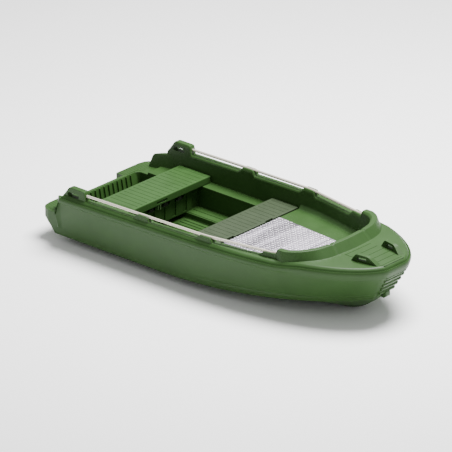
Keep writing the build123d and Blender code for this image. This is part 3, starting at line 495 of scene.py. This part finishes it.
# ---------------------------------------------------------------- shader maths
class Value:
    """A number that varies over a surface: a shader socket with arithmetic."""

    def __init__(self, tree, socket):
        self.tree, self.socket = tree, socket

    def math(self, operation, *others):
        node = self.tree.nodes.new("ShaderNodeMath")
        node.operation = operation
        for slot_in, item in zip(node.inputs, (self, *others)):
            put(self.tree, slot_in, item)
        return Value(self.tree, node.outputs[0])

    def __add__(self, other):
        return self.math("ADD", other)

    def __sub__(self, other):
        return self.math("SUBTRACT", other)

    def __mul__(self, other):
        return self.math("MULTIPLY", other)

    def __rsub__(self, other):
        return (self * -1.0).math("ADD", other)

    def __gt__(self, other):
        return self.math("GREATER_THAN", other)

    __radd__, __rmul__ = __add__, __mul__


def put(tree, slot_in, item):
    """Set a socket to a number or colour, or link a value to it."""
    if isinstance(item, Value):
        tree.links.new(item.socket, slot_in)
    else:
        slot_in.default_value = item


def node(tree, kind, settings=None, sockets=None, out=0):
    """A shader node: its settings first, then its sockets, and one of its outputs as a Value."""
    made = tree.nodes.new(kind)
    for key, setting in (settings or {}).items():
        if key == "stops":
            for element, (place, colour) in zip(made.color_ramp.elements, setting):
                element.position, element.color = place, colour
        else:
            setattr(made, key, setting)
    for key, item in (sockets or {}).items():
        put(tree, made.inputs[key], item)
    return Value(tree, made.outputs[out])


def mix(tree, share, a, b):
    """Colours a and b, mixed by share."""
    return node(tree, "ShaderNodeMix", {"data_type": "RGBA"},
                {"Factor": share, 6: a, 7: b}, out=2)


def noise(tree, place, scale, detail=3.0, rough=0.5):
    return node(tree, "ShaderNodeTexNoise", None,
                {"Vector": place, "Scale": scale, "Detail": detail, "Roughness": rough})


def stretched(tree, scale):
    """The object's coordinates, each axis scaled."""
    place = node(tree, "ShaderNodeTexCoord", out=3)
    return node(tree, "ShaderNodeMapping", None, {"Vector": place, "Scale": scale})


def material(name):
    made = bpy.data.materials.new(name)
    made.use_nodes = True
    return made, made.node_tree, made.node_tree.nodes["Principled BSDF"]


def rgb(r, g, b):
    """A screen colour (0 to 255) as linear light."""
    c = np.array([r, g, b]) / 255
    linear = np.where(c <= 0.04045, c / 12.92, ((c + 0.055) / 1.055) ** 2.4)
    return (*linear.tolist(), 1.0)


def moulded(name, colour, rough=0.46, reeded=False):
    """Rotomoulded polyethylene: a fine orange-peel skin, faint clouding and pale scuffs."""
    made, tree, shader = material(name)
    place = stretched(tree, (1, 1, 1))
    cloud = noise(tree, place, 5.0, 4.0)
    speck = noise(tree, place, 420.0, 2.0)
    scuff = noise(tree, stretched(tree, (3, 30, 30)), 6.0, 6.0, 0.7)
    light = tuple(min(1.0, c * 1.18 + 0.004) for c in colour[:3]) + (1.0,)
    dark = tuple(c * 0.84 for c in colour[:3]) + (1.0,)
    tone = mix(tree, cloud, dark, light)
    pale = tuple(min(1.0, c * 1.35 + 0.02) for c in colour[:3]) + (1.0,)
    tone = mix(tree, (scuff > 0.68) * 0.18, tone, pale)
    tone = mix(tree, (speck > 0.66) * 0.22, tone, dark)
    put(tree, shader.inputs["Base Color"], tone)
    put(tree, shader.inputs["Roughness"], cloud * 0.10 + speck * 0.08 + (rough - 0.09))
    shader.inputs["Specular IOR Level"].default_value = 0.20
    peel = noise(tree, place, 900.0, 2.0)
    height = peel * 0.6 + noise(tree, place, 60.0, 2.0) * 0.4
    if reeded:
        ridge = node(tree, "ShaderNodeTexWave", {"bands_direction": "X", "wave_profile": "SIN"},
                     {"Vector": place, "Scale": 52.0, "Distortion": 0.0})
        height = height + ridge * 2.0
    bump = node(tree, "ShaderNodeBump", None,
                {"Height": height, "Strength": 0.16, "Distance": 0.0012})
    put(tree, shader.inputs["Normal"], bump)
    return made


def metal(name, colour, rough, streak_scale, streak=0.10, metallic=1.0, contrast=1.0):
    """Drawn or rolled metal: long streaks in tone and gloss, and fine scratches. At contrast 1 the
    streaks are faint; at higher contrast they are bold bright and dark bands, painted reflections.
    """
    made, tree, shader = material(name)
    # contrast above 1 turns these streaks into bold bright and dark bands: painted reflections
    lines = (noise(tree, stretched(tree, streak_scale), 9.0, 5.0, 0.6) - 0.5) * contrast + 0.5
    smear = noise(tree, stretched(tree, (1, 1, 1)), 14.0, 3.0)
    dark = tuple(c * (1 - 1.6 * streak) for c in colour[:3]) + (1.0,)
    put(tree, shader.inputs["Base Color"], mix(tree, lines * 0.7 + smear * 0.3, dark, colour))
    put(tree, shader.inputs["Roughness"], lines * 0.12 + smear * 0.10 + (rough - 0.11))
    shader.inputs["Metallic"].default_value = metallic
    scratch = noise(tree, stretched(tree, tuple(4 * c for c in streak_scale)), 40.0, 3.0)
    bump = node(tree, "ShaderNodeBump", None,
                {"Height": scratch, "Strength": 0.08, "Distance": 0.0005})
    put(tree, shader.inputs["Normal"], bump)
    return made


def foam_material():
    """Closed-cell foam: pale, with small round cells."""
    made, tree, shader = material("buoyancy_foam")
    place = stretched(tree, (1, 1, 1))
    cells = node(tree, "ShaderNodeTexVoronoi", None, {"Vector": place, "Scale": 260.0})
    tone = mix(tree, noise(tree, place, 8.0), rgb(214, 198, 158), rgb(232, 222, 190))
    put(tree, shader.inputs["Base Color"], tone)
    put(tree, shader.inputs["Normal"], node(tree, "ShaderNodeBump", None,
        {"Height": cells, "Strength": 0.5, "Distance": 0.001}))
    shader.inputs["Roughness"].default_value = 0.9
    return made


def ply_material():
    """Marine plywood: long brown grain along the board."""
    made, tree, shader = material("marine_ply")
    grain = noise(tree, stretched(tree, (30, 2, 30)), 6.0, 6.0, 0.65)
    put(tree, shader.inputs["Base Color"], mix(tree, grain, rgb(120, 82, 46), rgb(176, 132, 84)))
    put(tree, shader.inputs["Roughness"], grain * 0.2 + 0.5)
    put(tree, shader.inputs["Normal"], node(tree, "ShaderNodeBump", None,
        {"Height": grain, "Strength": 0.2, "Distance": 0.0006}))
    return made


def rubber_material():
    """Matt black rubber with a dusty bloom."""
    made, tree, shader = material("black_rubber")
    bloom = noise(tree, stretched(tree, (1, 1, 1)), 60.0, 4.0)
    put(tree, shader.inputs["Base Color"], mix(tree, bloom, rgb(22, 22, 22), rgb(52, 52, 50)))
    put(tree, shader.inputs["Roughness"], bloom * 0.2 + 0.6)
    put(tree, shader.inputs["Normal"], node(tree, "ShaderNodeBump", None,
        {"Height": bloom, "Strength": 0.2, "Distance": 0.0008}))
    return made


# ---------------------------------------------------------------- small mouldings
def tube_data(loops):
    """Vertices and faces of a closed surface through loops of points."""
    rows, cols = loops.shape[:2]
    faces = quads(rows, cols, wrap=True)
    faces += [list(range(cols)), list(range((rows - 1) * cols, rows * cols))]
    return loops.reshape(-1, 3), faces


def join(name, parts):
    """One piece from several closed surfaces."""
    verts, faces, start = [], [], 0
    for points, part_faces in parts:
        verts.append(points)
        faces += [[i + start for i in face] for face in part_faces]
        start += len(points)
    return piece(name, np.concatenate(verts), faces, closed=False)


def ring(corners, radius, samples=4):
    """Closed loops of rounded corners from corner points (stations, corners, axes)."""
    closed = np.concatenate([corners[:, -1:], corners, corners[:, :1]], axis=1)
    return arcs(closed, radius, samples)[:, 1:-1]


def bar(at, near, far, low, high, axis, edge=0.004, groove=0.0, margin=0.02):
    """A rounded bar along one axis, drawn from its sections.

    at holds the stations; near, far, low and high are the section's sides there, groove how deep
    its top is hollowed between margins, and edge the radius of all its edges, the ends' too.
    """
    turn = np.radians([90, 60, 30])
    e = edge
    inset = np.concatenate([e * (1 - np.cos(turn)), np.zeros(len(at)),
                            e * (1 - np.cos(turn[::-1]))])
    place = np.concatenate([at[0] + e * (1 - np.sin(turn)), np.clip(at, at[0] + e, at[-1] - e),
                            at[-1] - e * (1 - np.sin(turn[::-1]))])

    def spread(side):
        side = np.broadcast_to(np.asarray(side, float), at.shape)
        return np.concatenate([[side[0]] * 3, side, [side[-1]] * 3])

    near, far = spread(near) + inset, spread(far) - inset
    low, high = spread(low) + inset, spread(high) - inset
    sunk = high - spread(groove)
    m = margin
    corners = [(near, low), (far, low), (far, high), (far - m, high), (far - m - 0.002, sunk),
               (near + m + 0.002, sunk), (near + m, high), (near, high)]
    section = ring(np.stack([np.stack(c, axis=1) for c in corners], axis=1),
                   np.array([e, e, e, e, 0.001, 0.001, 0.001, 0.001, e, e]))
    across, up = section[..., 0], section[..., 1]
    along_axis = np.broadcast_to(place[:, None], across.shape)
    order = (along_axis, across, up) if axis == "x" else (across, along_axis, up)
    return tube_data(np.stack(order, axis=-1))


def groove_pattern(at, middles, width, depth):
    """Trapezoid grooves at their middles."""
    gap = np.abs(at[:, None] - np.asarray(middles)[None, :]).min(axis=1)
    return depth * np.clip((width / 2 + 0.001 - gap) / 0.001, 0, 1)


def groove_stations(low, high, middles, width):
    """Stations that fall on both lips of each groove."""
    reach = (-width / 2 - 0.001, -width / 2, width / 2, width / 2 + 0.001)
    lips = [m + d for m in middles for d in reach]
    fill = np.arange(low, high, 0.05)
    return np.unique(np.round(np.concatenate([[low, high], lips, fill]), 5))


def bevelled(obj, width=0.003, segments=2):
    modifier = obj.modifiers.new("bevel", "BEVEL")
    modifier.width, modifier.segments, modifier.limit_method = width, segments, "ANGLE"
    modifier.angle_limit = radians(40)
    return obj


def stadium(length, height, count=10):
    """Points of a slot's outline."""
    r = height / 2
    a = np.linspace(-pi / 2, pi / 2, count)
    right = np.stack([length / 2 - r + r * np.cos(a), r * np.sin(a)], axis=1)
    left = np.stack([r - length / 2 - r * np.cos(a), -r * np.sin(a)], axis=1)
    return np.concatenate([right, left])


def prism_y(outline, y_low, y_high):
    """A prism along Y over an outline of (x, z) points."""
    loops = np.stack([np.stack([outline[:, 0], np.full(len(outline), y), outline[:, 1]], axis=1)
                      for y in (y_low, y_high)])
    return tube_data(loops)


def mirrored(part):
    points, faces = part
    return points * (1, -1, 1), faces


def quarter_hood():
    """The port gunwale's aft end, closed over the stern platform by a hood with a slanting face.

    Loops climb from a foot outline to a top outline, then close in over the sloping top.
    """
    foot = np.array([(-1.40, 0.696), (-1.750, 0.602), (-1.622, 0.745), (-1.40, 0.745)])
    top = np.array([(-1.40, 0.704), (-1.712, 0.642), (-1.640, 0.706), (-1.40, 0.740)])
    low, high = np.full(4, PLATFORM_Z - 0.02), np.array([0.474, 0.420, 0.430, 0.474])
    loops = []
    for climb, shrink in ((0, 1), (0.4, 1), (0.8, 1), (0.92, 0.985), (0.985, 0.94), (1.0, 0.82),
                          (1.0, 0.4)):
        plan = foot + (top - foot) * climb
        middle = plan.mean(axis=0)
        plan = middle + (plan - middle) * shrink
        height = low + (high - low) * climb
        loops.append(np.column_stack([plan, height.mean() + (height - height.mean()) * shrink]))
    return tube_data(ring(np.stack(loops), 0.035, 6))


def bow_handle():
    """Port carrying handle: a wedge standing on the bow deck with a finger slot through it."""
    base = SHEER_BOW + BOW_RISE - 0.010
    outer = rounded_path([(0, 0, 0), (0.055, 0.080, 0), (0.185, 0.078, 0), (0.295, 0, 0)],
                         [0.018, 0.030])[:, :2]
    outer = along(outer, np.linspace(0, 1, 40))
    floor_run = along([(0.295, 0), (0, 0)], np.linspace(0, 1, 26)[1:-1])
    outer = np.concatenate([outer, floor_run])
    slot_ring = stadium(0.104, 0.026, 16) + (0.116, 0.042)
    middle = np.array([0.116, 0.036])

    def by_angle(points, angles):
        a = np.arctan2(*(points - middle).T[::-1])
        order = np.argsort(a)
        a, points = a[order], points[order]
        wrapped = np.concatenate([a - 2 * pi, a, a + 2 * pi])
        sides = [np.interp(angles, wrapped, np.tile(points[:, i], 3)) for i in (0, 1)]
        return np.stack(sides, axis=1)

    angles = np.arctan2(*(outer - middle).T[::-1])
    inner = by_angle(slot_ring, angles)
    count = len(outer)
    widths = 0.019 + 0.020 * ease(outer[:, 0], 0.17, 0.290)
    thin = 0.019 + 0 * widths
    near_outer = np.column_stack([outer[:, 0], -widths, outer[:, 1]])
    far_outer = np.column_stack([outer[:, 0], thin, outer[:, 1]])
    near_inner = np.column_stack([inner[:, 0], -thin, inner[:, 1]])
    far_inner = np.column_stack([inner[:, 0], thin, inner[:, 1]])
    loops = np.stack([near_outer, far_outer, far_inner, near_inner, near_outer])
    turn = -np.arctan2(0.214 - 0.168, 0.27)
    faces = quads(5, count, wrap=True)
    points = loops.reshape(-1, 3)
    x, y, z = points.T
    placed = np.stack([1.482 + x * np.cos(turn) - y * np.sin(turn),
                       0.212 + x * np.sin(turn) + y * np.cos(turn), base + z], axis=1)
    return placed, faces


def stem_guard():
    """The ribbed face of the stem: sections across it, carried up its slope."""
    foot, head = np.array([1.697, 0.246]), np.array([1.822, 0.468])
    run = head - foot
    out = np.array([run[1], -run[0]]) / np.linalg.norm(run)
    t = np.linspace(0, 1, 90)
    rib = np.clip(1.4 * (0.5 - 0.5 * np.cos(2 * pi * t * 4.5)), 0, 1)
    thick = 0.002 + 0.018 * rib * ease(t, 0, 0.05) * ease(t, 1, 0.95)
    half = 0.096 + 0.044 * t
    corners = [np.stack([foot[0] + run[0] * t + out[0] * depth, side * half,
                         foot[1] + run[1] * t + out[1] * depth], axis=1)
               for side, depth in ((-1, -0.010), (1, -0.010), (1, thick), (-1, thick))]
    return tube_data(ring(np.stack(corners, axis=1), 0.004))


def transom_ribs():
    """Upright ribs on the transom's inner face, leaning with it."""
    parts = []
    for y in np.arange(-0.36, 0.361, 0.06):
        level = np.array([FLOOR_Z - 0.004, 0.14, 0.22, 0.286])
        face = WELL_AFT_X + 0.002 + (0.300 - level) / 0.200 * 0.040
        corners = [np.stack([face + out, np.full(4, y + side * 0.006), level], axis=1)
                   for out, side in ((-0.010, -1), (-0.010, 1), (0.011, 0.7), (0.011, -0.7))]
        parts.append(tube_data(ring(np.stack(corners, axis=1), 0.002, 3)))
    return parts


def tread_bars():
    """Raised bars of the tread plate, each row turned against the last: a lens-shaped pad."""
    pitch = 0.036
    x0, x1, near, far = 0.113, 1.173, 0.378, 0.292
    columns = np.arange(x0, x1, pitch)
    rows = np.arange(-0.39, 0.391, pitch)
    col, row = np.meshgrid(np.arange(len(columns)), np.arange(len(rows)), indexing="ij")
    cx, cy = columns[col].ravel(), rows[row].ravel()
    edge = near + (far - near) * (cx - x0) / (x1 - x0)
    keep = np.abs(cy) < edge
    turned = ((col + row) % 2).ravel()[keep]
    cx, cy = cx[keep], cy[keep]
    around = np.linspace(0, 2 * pi, 10, endpoint=False)
    long, wide = 0.0160, 0.0058
    lens = np.stack([long * np.cos(around), wide * np.sin(around)], axis=1)
    layers = [(1.0, -0.001), (1.0, 0.0003), (0.84, 0.0020), (0.50, 0.0028)]
    template = np.concatenate([np.column_stack([lens * s, np.full(10, h)]) for s, h in layers])
    angle = np.where(turned, radians(35), radians(-35)) + 0.0
    c, s = np.cos(angle)[:, None], np.sin(angle)[:, None]
    px = cx[:, None] + template[:, 0] * c - template[:, 1] * s
    py = cy[:, None] + template[:, 0] * s + template[:, 1] * c
    pz = np.broadcast_to(FOREDECK_Z + 0.003 + template[:, 2], px.shape)
    points = np.stack([px, py, pz], axis=-1).reshape(-1, 3)
    one = np.array(quads(4, 10, wrap=True))
    count = len(cx)
    sides = (one[None] + 40 * np.arange(count)[:, None, None]).reshape(-1, 4).tolist()
    caps = [[40 * k + i for i in ids] for k in range(count) for ids in (range(10), range(30, 40))]
    return points, sides + caps


def plate_outline(inset):
    corners = np.array([(0.101, -0.390), (1.185, -0.300), (1.185, 0.300), (0.101, 0.390)])
    middle = corners.mean(axis=0)
    return middle + (corners - middle) * (1 - inset / np.abs(corners - middle))


def tread_plate():
    """The plate itself: a quadrilateral with rounded corners and a slim rounded edge."""
    loops = []
    for inset, height in ((0.0008, 0.0), (0.0, 0.0008), (0.0, 0.0022), (0.0008, 0.003)):
        outline = ring(plate_outline(inset)[None], 0.012, 6)[0]
        loops.append(np.column_stack([outline, np.full(len(outline), FOREDECK_Z + height)]))
    return tube_data(np.stack(loops))


def aft_bench():
    """The hinged stern bench: a deep board with rounded edges and fore-and-aft grooves."""
    middles = np.arange(-0.62, 0.621, 0.062)
    at = groove_stations(-0.673, 0.673, middles, 0.004)
    return bar(at, -1.386, -1.0, 0.3155, 0.387, "y", edge=0.010,
               groove=groove_pattern(at, middles, 0.004, 0.0022), margin=0.020)


def mid_bench():
    """The lift-out bench: a thin board, grooved, with two notches in its forward edge."""
    middles = np.arange(-0.62, 0.621, 0.062)
    notch_edges = [s * 0.268 + d for s in (-1, 1) for d in (-0.048, 0.048)]
    at = groove_stations(-0.668, 0.668, middles, 0.004)
    at = np.unique(np.concatenate([at, [e + d for e in notch_edges for d in (-0.003, 0.0, 0.003)]]))
    notch = np.clip((0.048 + 0.0015 - np.abs(np.abs(at) - 0.268)) / 0.003, 0, 1)
    return bar(at, -0.237, 0.083 - 0.018 * notch, 0.3525, 0.387, "y", edge=0.006,
               groove=groove_pattern(at, middles, 0.004, 0.0020), margin=0.026)


def bow_panel():
    """The grooved step on the bow deck, its grooves athwartships."""
    middles = np.arange(1.385, 1.79, 0.079)
    at = groove_stations(1.366, 1.806, middles, 0.005)
    half = 0.172 - 0.040 * ease(at, 1.70, 1.81)
    deck = SHEER_BOW + BOW_RISE
    return bar(at, -half, half, deck - 0.010, deck + 0.0028, "x", edge=0.0025,
               groove=groove_pattern(at, middles, 0.005, 0.0026), margin=0.006)


def platform_pad():
    """The grooved top of the port stern platform."""
    middles = np.arange(-1.825, -1.705, 0.026)
    at = groove_stations(-1.838, -1.702, middles, 0.004)
    near = 0.325 + 0.165 * ease(at, WELL_AFT_X - 0.022, WELL_AFT_X - 0.008)
    return bar(at, near, platform_side(at) - 0.030, PLATFORM_Z - 0.010, PLATFORM_Z + 0.0025, "x",
               edge=0.002, groove=groove_pattern(at, middles, 0.004, 0.0022), margin=0.006)


def aisle_floor():
    """Anti-slip grooves along the aisle's floor."""
    middles = np.arange(-0.325, 0.326, 0.05)
    at = groove_stations(-0.365, 0.365, middles, 0.010)
    return bar(at, -1.045, -0.028, AISLE_Z - 0.008, AISLE_Z + 0.003, "y", edge=0.0025,
               groove=groove_pattern(at, middles, 0.010, 0.0030), margin=0.012)


def side_floor_strips():
    """Two raised strips on the port side floor, with a groove between them."""
    parts = []
    for near, far in ((0.396, 0.462), (0.474, 0.546)):
        at = np.linspace(-1.045, 0.020, 8)
        parts.append(bar(at, near, far, FLOOR_Z - 0.008, FLOOR_Z + 0.005, "x", edge=0.004))
    return parts


def runner():
    """The port bilge runner, its ends faired into the bottom."""
    at = np.linspace(-1.48, 0.70, 60)
    fade = ease(at, -1.48, -1.30) * ease(at, 0.70, 0.45)
    low = 0.045 - 0.044 * fade
    return bar(at, 0.378, 0.422, low, 0.055, "x", edge=0.006)


def transom_pad():
    """The raised pad that an outboard clamps to, on the raked transom."""
    level = np.array([0.118, 0.20, 0.288])
    face = -1.775 + 0.071 * (0.325 - level) / 0.330
    corners = [np.stack([face + out, np.full(3, side * 0.25), level], axis=1)
               for out, side in ((0.012, -1), (0.012, 1), (0.0, 1), (0.0, -1))]
    return tube_data(ring(np.stack(corners, axis=1), 0.003, 3))


def locker_windows():
    """Hand-holes in the locker's front: a rounded surround with a dark panel in it, the panel
    painted shade standing in for the hole's depth.
    """
    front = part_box("stern_locker")[1][0]
    surrounds, shade_panels = [], []
    for y in (-0.289, -0.100, 0.100, 0.289):
        at = np.linspace(y - 0.047, y + 0.047, 6)
        surrounds.append(bar(at, front - 0.004, front + 0.005, 0.243, 0.305, "y", edge=0.004))
        # the dark panel, proud of the front, is painted shade where the hole would be
        inner = np.linspace(y - 0.036, y + 0.036, 6)
        shade_panels.append(bar(inner, front, front + 0.0062, 0.252, 0.296, "y", edge=0.002))
    return surrounds, shade_panels


def tow_lug():
    """The boxed lug at the foot of the stem."""
    at = np.linspace(1.642, 1.738, 8)
    low = 0.196 + 0.018 * ease(at, 1.71, 1.738)
    return bar(at, -0.031, 0.031, low, 0.266, "x", edge=0.008)


# ---------------------------------------------------------------- finishes and pieces
GREEN = moulded("green_polyethylene", rgb(39, 67, 26))
BENCH = moulded("bench_polyethylene", rgb(44, 73, 32), rough=0.42)
GREY = moulded("grey_green_polyethylene", rgb(45, 57, 37), rough=0.5, reeded=True)
# painted reflection streaks on the tread plate and its bars, drawn out across the boat
REFLECTION_STREAKS = (0.7, 0.06, 1)        # streaks drawn out across the boat
# plate and bars: the bold bright and dark streaks at contrast 7 are painted reflections; the bars
# are paler than the plate
PLATE = metal("bright_tread_plate", rgb(176, 168, 182), 0.36, REFLECTION_STREAKS, 0.42, 0.5, contrast=7.0)
BARS = metal("pale_tread_bars_painted_streaks", rgb(244, 242, 248), 0.32, REFLECTION_STREAKS, 0.22, 0.35, contrast=7.0)
TUBE = metal("anodised_tube", rgb(226, 220, 204), 0.38, (1, 30, 30), 0.06, metallic=0.7)
STEEL = metal("polished_stainless", rgb(200, 200, 196), 0.24, (20, 4, 20), 0.08)
FOAM, PLY, RUBBER = foam_material(), ply_material(), rubber_material()

DRESS = {"foam": FOAM, "handrail": TUBE, "transom_board": PLY, "vent_plugs": RUBBER,
         "tow_eye": RUBBER, "drain_bung": RUBBER, "stern_locker": GREEN}
for name, obj in NODES.items():
    chosen = next((m for key, m in DRESS.items() if key in name), STEEL)
    for place in obj.material_slots:
        place.material = chosen
    if not obj.material_slots:
        obj.data.materials.append(chosen)

hull = hull_piece()
knife = [join("transom_gap", [prism_y(np.array([(-1.772, 0.4), (-1.772, 0.325), (-1.700, -0.005),
                                                 (-1.694, -0.05), (-1.9, -0.05), (-1.9, 0.4)]),
                                      -TRANSOM_HALF, TRANSOM_HALF)])]
slot_outline = stadium(0.140, 0.042) + (-1.412, 0.530)
for side in (-1, 1):
    low, high = sorted((side * 0.62, side * 0.82))
    knife.append(join("slot", [prism_y(slot_outline, low, high)]))
cut(hull, knife)
finish(hull, GREEN)

hull_trim = {
    "quarter_hoods": [quarter_hood(), mirrored(quarter_hood())],
    "bow_handles": [bow_handle(), mirrored(bow_handle())],
    "stem_guard": [stem_guard()],
    "transom_ribs": transom_ribs(),
    "transom_pad": [transom_pad()],
    "bow_deck_panel": [bow_panel()],
    "platform_pads": [platform_pad(), mirrored(platform_pad())],
    "aisle_floor": [aisle_floor()],
    "side_floor_strips": side_floor_strips() + [mirrored(p) for p in side_floor_strips()],
    "bilge_runners": [runner(), mirrored(runner())],
    "tow_lug": [tow_lug()],
}
trim = {name: join(name, parts) for name, parts in hull_trim.items()}
bore = np.stack([1.690 + 0.012 * np.cos(np.linspace(0, 2 * pi, 32, endpoint=False)),
                 0.226 + 0.012 * np.sin(np.linspace(0, 2 * pi, 32, endpoint=False))], axis=1)
cut(trim["tow_lug"], [join("tow_bore", [prism_y(bore, -0.2, 0.2)])])
bevelled(trim["bow_handles"], 0.004, 3)
for obj in trim.values():
    finish(obj, GREEN)
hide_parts("hull_moulding")

surrounds, shade_panels = locker_windows()
finish(join("locker_surrounds", surrounds), GREEN)
# dark rubber-coloured panels: painted shade for the hand-holes' depth, not rubber parts
finish(join("locker_hand_hole_shade", shade_panels), RUBBER)

stern_seat = join("stern_bench_board", [aft_bench()])
grip = stadium(0.150, 0.024)
grip_loops = np.stack([np.column_stack([np.full(len(grip), x), grip[:, 0], grip[:, 1] + 0.3485])
                       for x in (-1.012, -0.98)])
cut(stern_seat, [join("grip", [tube_data(grip_loops)])])
finish(stern_seat, BENCH, body="aft_bench")
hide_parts("aft_bench")

middle_seat = join("middle_bench_board", [mid_bench()])
finish(middle_seat, GREY, body="mid_bench")
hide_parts("mid_bench")

plate = join("chequer_plate", [tread_plate()])
bars = join("chequer_bars", [tread_bars()])
for obj, dress in ((plate, PLATE), (bars, BARS)):
    finish(obj, dress)
    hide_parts("tread_plate")


# ---------------------------------------------------------------- camera, floor and light
VIEW_AZIMUTH, VIEW_ELEVATION = radians(41.736), radians(23.705)
BACK = Vector((sin(VIEW_AZIMUTH) * cos(VIEW_ELEVATION), -cos(VIEW_AZIMUTH) * cos(VIEW_ELEVATION),
               sin(VIEW_ELEVATION)))
AIM = Vector((-0.218, 0.007, 0.326))
FAR = 65.7
LENS, SENSOR = 573.0, 36.0     # mm
SKY_STRENGTH = 0.58
FLOOR_REACH, FLOOR_TOP = 60, -0.002
FLOOR_TONE = (0.95, 0.95, 0.95, 1)


def set_camera():
    data = bpy.data.cameras.new("camera")
    data.lens, data.sensor_width, data.clip_end = LENS, SENSOR, 400.0
    camera = bpy.data.objects.new("camera", data)
    bpy.context.scene.collection.objects.link(camera)
    camera.location = AIM + BACK * FAR
    camera.rotation_euler = BACK.to_track_quat("Z", "Y").to_euler()
    bpy.context.scene.camera = camera


def area_light(name, place, aim, size, power):
    data = bpy.data.lights.new(name, "AREA")
    data.shape, data.size, data.energy = "DISK", size, power
    lamp = bpy.data.objects.new(name, data)
    bpy.context.scene.collection.objects.link(lamp)
    lamp.location = place
    lamp.rotation_euler = (Vector(place) - Vector(aim)).to_track_quat("Z", "Y").to_euler()


def set_sky():
    world = bpy.data.worlds.new("world")
    world.use_nodes = True
    background = world.node_tree.nodes["Background"]
    background.inputs["Color"].default_value = (1, 1, 1, 1)
    background.inputs["Strength"].default_value = SKY_STRENGTH
    bpy.context.scene.world = world


def lay_floor():
    """A wide pale square just under the keel."""
    mesh = bpy.data.meshes.new("floor")
    corners = [(-1, -1), (1, -1), (1, 1), (-1, 1)]
    mesh.from_pydata([(i * FLOOR_REACH, j * FLOOR_REACH, FLOOR_TOP) for i, j in corners],
                     [], [(0, 1, 2, 3)])
    floor = bpy.data.objects.new("floor", mesh)
    bpy.context.scene.collection.objects.link(floor)
    paint = bpy.data.materials.new("floor")
    paint.use_nodes = True
    shader = paint.node_tree.nodes["Principled BSDF"]
    shader.inputs["Base Color"].default_value = FLOOR_TONE
    shader.inputs["Roughness"].default_value = 1
    mesh.materials.append(paint)


set_camera()
set_sky()
area_light("top light", (0.5, 2.5, 9.0), (0, 0, 0.3), 6.0, 3600)
lay_floor()
